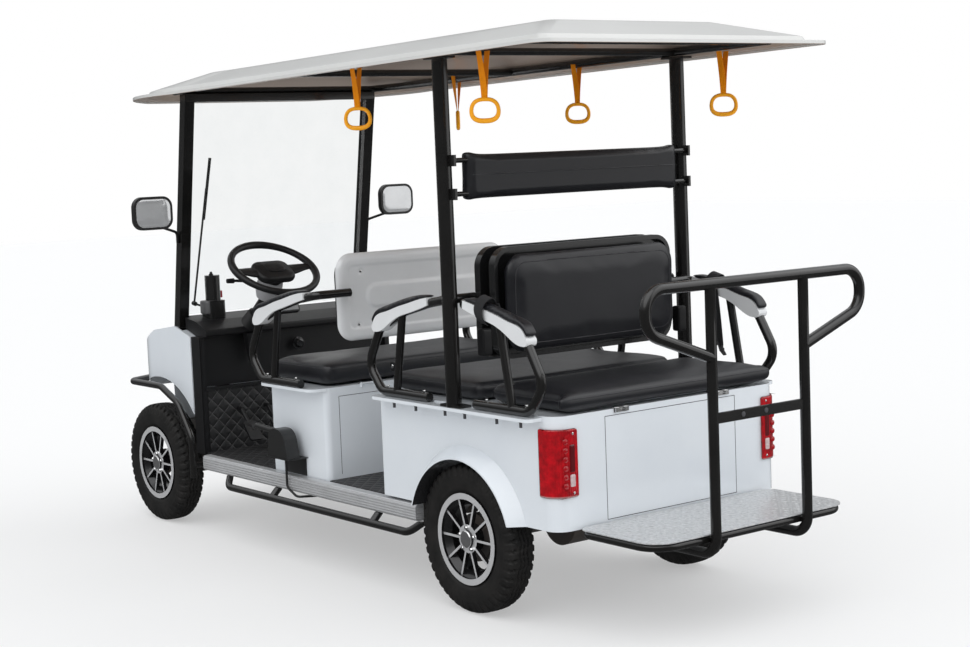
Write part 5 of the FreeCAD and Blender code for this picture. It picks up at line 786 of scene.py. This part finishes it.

# Mirrors: silvered glass let into the back of each black housing, half of its grey a painted reflection. The
# windscreen is clear with a faint tint.
MIRROR_Y, MIRROR_Z, GLASS_WIDE, GLASS_HIGH = 0.655, 1.432, 0.083, 0.062
low, high = corners("mirrors")
# The mirror glass is only half metal: the rest is a flat pale grey, a painted reflection.
silver_and_painted_reflection = finish("mirror_glass", (0.66, 0.67, 0.68), 0.06, metal=0.5, coat=0.5, spread=0.01)
glasses = [pillow((low[0] - 0.0012, s * MIRROR_Y - GLASS_WIDE, MIRROR_Z - GLASS_HIGH),
                  (low[0] + 0.004, s * MIRROR_Y + GLASS_WIDE, MIRROR_Z + GLASS_HIGH), 0.036, 0.001, 0.0008,
                  thin=0, rings=12, arc=6, straight=6) for s in (-1, 1)]
piece("mirror_glass", *many(glasses), silver_and_painted_reflection, "cart", "wiper_black")
clear = finish("screen_glass", (0.87, 0.885, 0.885), 0.03, second=(0.90, 0.91, 0.91), spread=0.01)
clear.node_tree.nodes["Principled BSDF"].inputs["Transmission Weight"].default_value = 1.0
clear.node_tree.nodes["Principled BSDF"].inputs["IOR"].default_value = 1.05
dress(clear, "windscreen")

# Grab handles: orange moulded rings, each on a folded web strap that passes up both sides of the roof tube.
# Each hangs turned its own way, as the photograph shows. Their places are measured ahead of the rear axle.
HANDLE_PLACES = ((0.565, 1, 45), (-0.210, 1, 55), (1.425, -1, -38), (0.600, -1, 60), (-0.240, -1, 50))
HANDLE_Y, RING_WIDE, RING_HIGH, RING_Z, RING_TUBE = 0.560, 0.110, 0.090, 1.792, 0.0085
STRAP_WIDE, STRAP_SPREAD, STRAP_THICK, STRAP_OFF = 0.021, 0.006, 0.0009, 0.0165
HANDLE_ORANGE, STRAP_ORANGE = (0.88, 0.36, 0.012), (0.86, 0.27, 0.004)
WEAVE_PITCH, WEAVE_DEPTH = 0.0022, 0.0004


def squared(value):
    """A sine or cosine drawn toward one, which squares a round form a little."""
    return np.sign(value) * np.abs(value) ** (2 / 2.7)


def weave(tree, coords):
    """Fine cross ribs of webbing."""
    return wave(tree, split(tree, coords)[2], WEAVE_PITCH), WEAVE_DEPTH, None, None


strap_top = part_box("grab_handles")[1][2]
turn = turns(72)[:, None]
side = turns(16)[None, :]
round_x = squared(np.cos(turn)) * (RING_WIDE / 2 - RING_TUBE)
round_z = squared(np.sin(turn)) * (RING_HIGH / 2 - RING_TUBE)
round_x *= 1 - 0.12 * np.clip(round_z / RING_HIGH * 2, 0, 1)
thick = 0.0070 + 0.0018 * np.clip(-np.sin(turn), 0, 1)
ring = np.stack(np.broadcast_arrays(round_x + thick * np.cos(side) * np.cos(turn), RING_TUBE * np.sin(side),
                                    RING_Z + round_z + thick * np.cos(side) * np.sin(turn)), -1)
rise = np.linspace(0, 1, 15)[:, None]
height = RING_Z + RING_HIGH / 2 - 0.012 + rise * (strap_top - RING_Z - 0.035)
wide = (STRAP_WIDE + STRAP_SPREAD * rise) * np.linspace(-0.5, 0.5, 7)[None, :]
rings, straps = [], []
for x, way, twist in HANDLE_PLACES:
    spin = np.array(Matrix.Rotation(math.radians(twist), 3, "Z"))
    place = np.array([x + AXLE_X, way * HANDLE_Y, 0])
    rings.append((ring @ spin.T + place, quads(72, 16)))
    hang = np.radians(twist) * (1 - rise) ** 1.5
    for leg in (-1, 1):
        off = leg * (0.0022 + STRAP_OFF * rise ** 1.2)
        face = np.stack(np.broadcast_arrays(wide * np.cos(hang) - off * np.sin(hang),
                                            wide * np.sin(hang) + off * np.cos(hang), height), -1)
        edge = np.stack([-np.sin(hang), np.cos(hang), 0 * hang], -1) * STRAP_THICK
        sheet = np.concatenate([face + edge, (face - edge)[:, ::-1]], 1)
        straps.append((closed(sheet) + place, quads(17, 14, False, True)))
orange = finish("handle_orange", HANDLE_ORANGE, 0.32, coat=0.15, second=(0.95, 0.40, 0.008), gloss=0.25)
piece("handle_rings", *many(rings), orange, "cart", "handle_orange", stands_for="grab_handles")
strap_look = finish("strap_orange", STRAP_ORANGE, 0.6, pattern=weave, gloss=0.15)
piece("handle_straps", *many(straps), strap_look, "cart", "handle_orange", 25)

# Step: bright aluminium chequer plate, its raised lozenges set two ways, over the black rim tube.
STEP_PITCH, LOZENGE, STEP_CORNER, CORNER_REACH = 0.027, (0.0115, 0.0040, 0.0014), 0.09, 0.078
LOZENGE_CORNERS = ((-1, 0, 0), (0, -1, 0), (1, 0, 0), (0, 1, 0), (-0.6, 0, 1), (0, -0.45, 1), (0.6, 0, 1),
                   (0, 0.45, 1))
low, high = corners("step_plate")
step_look = finish("step_aluminium", (0.42, 0.43, 0.44), 0.34, metal=0.4, second=(0.72, 0.73, 0.74),
                   cloud=70.0, spread=0.12, grain=0.3, grain_size=900.0)
dress(step_look, "step_plate", edge=0.001)
rows, columns = np.meshgrid(np.arange(low[0] + 0.014, high[0] - 0.01, STEP_PITCH),
                            np.arange(low[1] + 0.016, high[1] - 0.01, STEP_PITCH), indexing="ij")
from_corner = np.stack([np.maximum(low[0] + STEP_CORNER - rows, 0),
                        np.maximum(np.abs(columns) - (high[1] - STEP_CORNER), 0)])
inside = np.hypot(*from_corner) < CORNER_REACH
odd = np.indices(rows.shape).sum(0)[inside] % 2
way = np.radians(np.where(odd == 1, 45, -45))[:, None]
long, short, tall = (np.array(LOZENGE_CORNERS) * LOZENGE).T[:, None]
points = np.stack([long * np.cos(way) - short * np.sin(way) + rows[inside][:, None],
                   long * np.sin(way) + short * np.cos(way) + columns[inside][:, None],
                   tall + high[2] - 0.0002 + 0 * way], -1)
cell = np.array([[0, 1, 5, 4], [1, 2, 6, 5], [2, 3, 7, 6], [3, 0, 4, 7], [4, 5, 6, 7], [3, 2, 1, 0]])
faces = cell[None] + 8 * np.arange(len(points))[:, None, None]
piece("step_chequer", points, faces.reshape(-1, 4), step_look, "cart", "step_aluminium", 20)

# Tail lamps' inner parts: a row of round red bulges, a darker field beside it and a pale reversing window.
BULGE_Y, FIELD_Y, FIELD_HALF = 0.503, 0.474, 0.011
BULGE = ((0, 0.001), (0.0105, 0.001), (0.0098, -0.0006), (0.0062, -0.0017), (0, -0.0021))
low, high = corners("tail_lamps")
bulges, fields, windows = [], [], []
for s in (-1, 1):
    for z in np.linspace(0.520, 0.672, 6):
        bulges.append(disc_stack(BULGE, 20, (low[0] - 0.0001, s * BULGE_Y, z), "x"))
    near, far = s * FIELD_Y - FIELD_HALF, s * FIELD_Y + FIELD_HALF
    for panes, out, foot, top, corner, crown in ((fields, 0.0012, 0.566, 0.660, 0.006, 0.0004),
                                                 (windows, 0.0016, 0.516, 0.558, 0.005, 0.0008)):
        panes.append(pillow((low[0] - out, near, foot), (low[0] + 0.002, far, top), corner, 0.001, crown,
                            thin=0, rings=11, arc=5, straight=4))
deep_red = finish("deep_red", (0.30, 0.002, 0.006), 0.12, coat=0.6)
dark_red = finish("dark_red", (0.09, 0.001, 0.003), 0.15, coat=0.6)
pale_lens = finish("pale_lens", (0.62, 0.52, 0.52), 0.15, coat=0.6, second=(0.45, 0.30, 0.30), cloud=160.0)
for name, blocks, look in (("lamp_bulges", bulges, deep_red), ("lamp_fields", fields, dark_red),
                           ("lamp_windows", windows, pale_lens)):
    piece(name, *many(blocks), look, "cart", "lamp_red", 30)

# Seat belts: a black retractor on each rear upright, with its webbing over the armrest, and a buckle on a
# stalk at the bench's edge. Dark bolt heads on the step's hoop and a round switch on the dash come with them.
# The brake cable is black rubber, and the battery a plain dark case.
BELT_X, BELT_Y, BELT_Z, BELT_THICK = -1.040, 0.560, 1.103, 0.0024
RETRACTOR = ((-0.935, -0.895), 0.478, (0.930, 1.028), 0.021, 0.006)
BUCKLE = ((-0.445, -0.398), 0.524, (0.842, 0.878), 0.012, 0.005)
TONGUE_Y, STUD_SPOTS = 0.519, ((-1.101, 0.5235, 0.866), (-0.420, 0.5365, 0.862))
webbing = finish("webbing", (0.016, 0.016, 0.018), 0.7, pattern=weave)


def softened(path, times):
    """The path with its corners rounded: each inner point moves halfway to the middle of its neighbours."""
    for _ in range(times):
        path[1:-1] = (path[:-2] + 2 * path[1:-1] + path[2:]) / 4
    return path


def ribbon(path, width, across_way):
    """Flat web along a path of points, its width along a given direction."""
    path = np.array(path, float)
    fine = np.linspace(0, len(path) - 1, 8 * len(path))
    path = softened(np.stack([np.interp(fine, np.arange(len(path)), path[:, i]) for i in range(3)], -1), 6)
    wide = np.array(across_way, float) * width / 2
    normal = np.cross(np.gradient(path, axis=0), wide)
    normal *= BELT_THICK / 2 / np.linalg.norm(normal, axis=1, keepdims=True)
    ring = [path + wide + normal, path - wide + normal, path - wide - normal, path + wide - normal]
    ring = closed(np.stack(ring, 1))
    return ring, quads(len(ring), 4, False, True)


belts, housings, studs = [], [], []
for s in (-1, 1):
    a = np.radians(np.arange(-60, 250, 15))
    wrap = [BELT_X + 0.008 * np.cos(2 * a), s * (BELT_Y + 0.034 * np.cos(a)), BELT_Z + 0.050 * np.sin(a)]
    belts.append(ribbon(np.stack(wrap, -1), 0.044, (1, 0, 0.25)))
    hanging = [(-1.050, s * 0.529, 1.128), (-1.072, s * 0.520, 1.043), (-1.083, s * TONGUE_Y, 0.950),
               (-1.089, s * TONGUE_Y, 0.880)]
    belts.append(ribbon(hanging, 0.040, (1, 0, 0)))
    for x, y, z, half, edge in (RETRACTOR, BUCKLE):
        housings.append(pillow((x[0], s * y - half, z[0]), (x[1], s * y + half, z[1]), 0.010, edge, 0.001,
                               thin=1, rings=12, arc=5, straight=3))
    tongue = [(x, s * TONGUE_Y, z) for x, z in ((-1.087, 0.898), (-1.100, 0.862), (-1.116, 0.845))]
    housings.append(rod(tongue, (0.014, 0.013, 0.010), 12, 0.3))
    studs.append(bolt_heads([(x, s * y, z) for x, y, z in STUD_SPOTS], 0.0075, 0.004, "y", s, 16))
piece("belts", *many(belts), webbing, "cart", "black_vinyl", 25)
piece("belt_housings", *many(housings), soft_plastic, "cart", "wheel_black")
piece("belt_studs", *many(studs), bright, "cart", "wheel_black")
spots = [(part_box("step_frame")[0][0] + 0.0122, y, 0.757) for y in (0.088, -0.021)]
piece("bar_bolts", *bolt_heads(spots, 0.009, 0.004, "x", -1, 18), gap_black, "cart", "black_tube")
knob = [(0, 0), (0.030, 0), (0.030, 0.004), (0.021, 0.006), (0.019, 0.020), (0.014, 0.023), (0, 0.023)]
knob = turned(knob, 32, (1.116, 0, 0.800), (0.9, 0, 0.800))
piece("dash_switch", *knob, gloss_black, "cart", "black_panel", 25)
dress(finish("battery_case", (0.02, 0.02, 0.021), 0.5, grain=0.3), "battery_pack", edge=0.004)
dress(finish("cable_rubber", (0.012, 0.012, 0.012), 0.55), "brake_cable")

# Seams: fine welts on the skins. One runs round each backrest's face, one round each bench under its top
# edge, and one along the roll's flap. Each point of a seam is set on the finished skin.
SEAM_LIFT, SEAM_GAP, SEAM_CORNER, SEAM_ARC, WELT, ROLL_WELT = 0.0004, 0.012, 0.05, 9, 0.0017, 0.0022


def seam(skin_name, path, radius=WELT):
    """A thin round welt whose path is dropped on to the nearest place of a skin."""
    found = [scene.objects[skin_name].closest_point_on_mesh(Vector(point)) for point in path.tolist()]
    path = np.array([place + normal * SEAM_LIFT for _, place, normal, _ in found])
    return rod(softened(path, 3), radius, 6)


def frame_path(low, high, fixed, axis):
    """A closed rounded rectangle across two axes, at a fixed place on the third, in even steps."""
    turn = np.concatenate([np.linspace(k, k + 1, SEAM_ARC) for k in range(4)]) * np.pi / 2
    sign = np.repeat(np.array([(1, 1), (-1, 1), (-1, -1), (1, -1)]), SEAM_ARC, 0)
    arcs = SEAM_CORNER * np.stack([np.cos(turn), np.sin(turn)], -1)
    flat = (low + high) / 2 + sign * ((high - low) / 2 - SEAM_CORNER) + arcs
    path = np.insert(np.concatenate([flat, flat[:1]]), axis, fixed, axis=1)
    run = np.concatenate([[0], np.cumsum(np.linalg.norm(np.diff(path, axis=0), axis=1))])
    even = np.linspace(0, run[-1], int(run[-1] / SEAM_GAP))
    return np.stack([np.interp(even, run, path[:, i]) for i in range(3)], -1)


seam_black = finish("seam_thread", (0.028, 0.028, 0.032), 0.5)
by_body = {"cart": [], "front_seat": [], "rear_seat": []}
for row, facing in (("front", 1), ("mid", 1), ("rear", -1)):
    low, high = corners(row + "_back_pad")
    face = high[0] + 0.02 if facing > 0 else low[0] - 0.02
    by_body["cart"].append(seam(row + "_backrest", frame_path(low[1:] + 0.036, high[1:] - 0.036, face, 0)))
for name, node, body in (("front_bench", "front_cushion", "front_seat"),
                         ("middle_bench", "mid_cushion", "cart"),
                         ("rear_bench", "rear_cushion", "rear_seat")):
    low, high = corners(node)
    by_body[body].append(seam(name, frame_path(low[:2] + 0.006, high[:2] - 0.006, high[2] - 0.022, 2)))
low, high = corners("upper_roll")
path = np.array([(low[0] - 0.01, y, 1.572) for y in np.linspace(-0.500, 0.500, 60)])
by_body["cart"].append(seam("roll_pad", path, ROLL_WELT))
for body, blocks in by_body.items():
    piece("seams_" + body, *many(blocks), seam_black, body, "black_vinyl", 60)

# Studio: a pale floor that glows a little and isn't seen in gloss, two broad soft suns, and an even white
# room whose horizon is darker where gloss mirrors it. The camera stands behind the cart's left corner at
# standing height, as the photograph was taken.
FLOOR_SIZE, FLOOR_TONE, FLOOR_GLOW = 60.0, (0.485, 0.485, 0.485), 0.4
ROOM_LIGHT, WHITE, ROOM_TINT, GLOSS_TINT = 0.82, (1, 1, 1), (0.96, 0.98, 1), (0.97, 0.985, 1)
HORIZON, ZENITH = 0.12, 1.1
SUN_LIGHT, SUN_SPREAD, SUNS = 1.0, math.radians(70), (("sun", (38, 0, -150)), ("side_sun", (62, 0, -40)))
LENS_MM, CAMERA_PLACE, CAMERA_TURN = 65.81, (-5.8633, 4.3004, 1.667), (-37.716, -5.681, -2.197)

scene.view_settings.view_transform = "Standard"
room = bpy.data.worlds.new("room")
room.use_nodes = True
scene.world = room
tree = room.node_tree
tree.nodes.clear()
rays = tree.nodes.new("ShaderNodeLightPath").outputs
way = tree.nodes.new("ShaderNodeTexCoord").outputs["Generated"]
banks = spread_over(tree, split(tree, way)[2], From_Min=0.1, From_Max=0.7, To_Min=HORIZON, To_Max=ZENITH)
seen, glow, mirrored = (joined(tree, "ShaderNodeBackground", Color=(*tint, 1), Strength=strength).outputs[0]
                        for tint, strength in ((WHITE, 1.0), (ROOM_TINT, ROOM_LIGHT), (GLOSS_TINT, banks)))
clear_view = sums(tree, "MAXIMUM", rays["Is Camera Ray"], rays["Is Transmission Ray"])
unseen = joined(tree, "ShaderNodeMixShader", Fac=rays["Is Glossy Ray"], i1=glow, i2=mirrored).outputs[0]
both = joined(tree, "ShaderNodeMixShader", Fac=clear_view, i1=unseen, i2=seen).outputs[0]
joined(tree, "ShaderNodeOutputWorld", Surface=both)

for name, turn in SUNS:
    lamp = bpy.data.lights.new(name, "SUN")
    lamp.energy = SUN_LIGHT
    lamp.angle = SUN_SPREAD
    holder = bpy.data.objects.new(name, lamp)
    holder.rotation_euler = [math.radians(a) for a in turn]
    scene.collection.objects.link(holder)

sweep = bpy.data.meshes.new("floor")
spots = [(x * FLOOR_SIZE / 2, y * FLOOR_SIZE / 2, 0) for x, y in ((-1, -1), (1, -1), (1, 1), (-1, 1))]
sweep.from_pydata(spots, [], [(0, 1, 2, 3)])
floor = bpy.data.objects.new("floor", sweep)
scene.collection.objects.link(floor)
floor.visible_glossy = False
paper = bpy.data.materials.new("floor_paper")
paper.use_nodes = True
for socket, value in (("Base Color", (*FLOOR_TONE, 1)), ("Emission Color", (*WHITE, 1)),
                      ("Emission Strength", FLOOR_GLOW), ("Roughness", 0.9), ("Specular IOR Level", 0.1)):
    paper.node_tree.nodes["Principled BSDF"].inputs[socket].default_value = value
sweep.materials.append(paper)

turn, tip, roll = (math.radians(a) for a in CAMERA_TURN)
ahead = Vector((math.cos(tip) * math.cos(turn), math.cos(tip) * math.sin(turn), math.sin(tip)))
level = ahead.cross(Vector((0, 0, 1))).normalized()
rise = level.cross(ahead)
right = level * math.cos(roll) + rise * math.sin(roll)
above = rise * math.cos(roll) - level * math.sin(roll)
eye = bpy.data.cameras.new("camera")
eye.lens = LENS_MM
eye.sensor_width = 36
eye.clip_end = 200
camera = bpy.data.objects.new("camera", eye)
pose = Matrix((right, above, -ahead)).transposed().to_4x4()
pose.translation = Vector(CAMERA_PLACE)
camera.matrix_world = pose
scene.collection.objects.link(camera)
scene.camera = camera
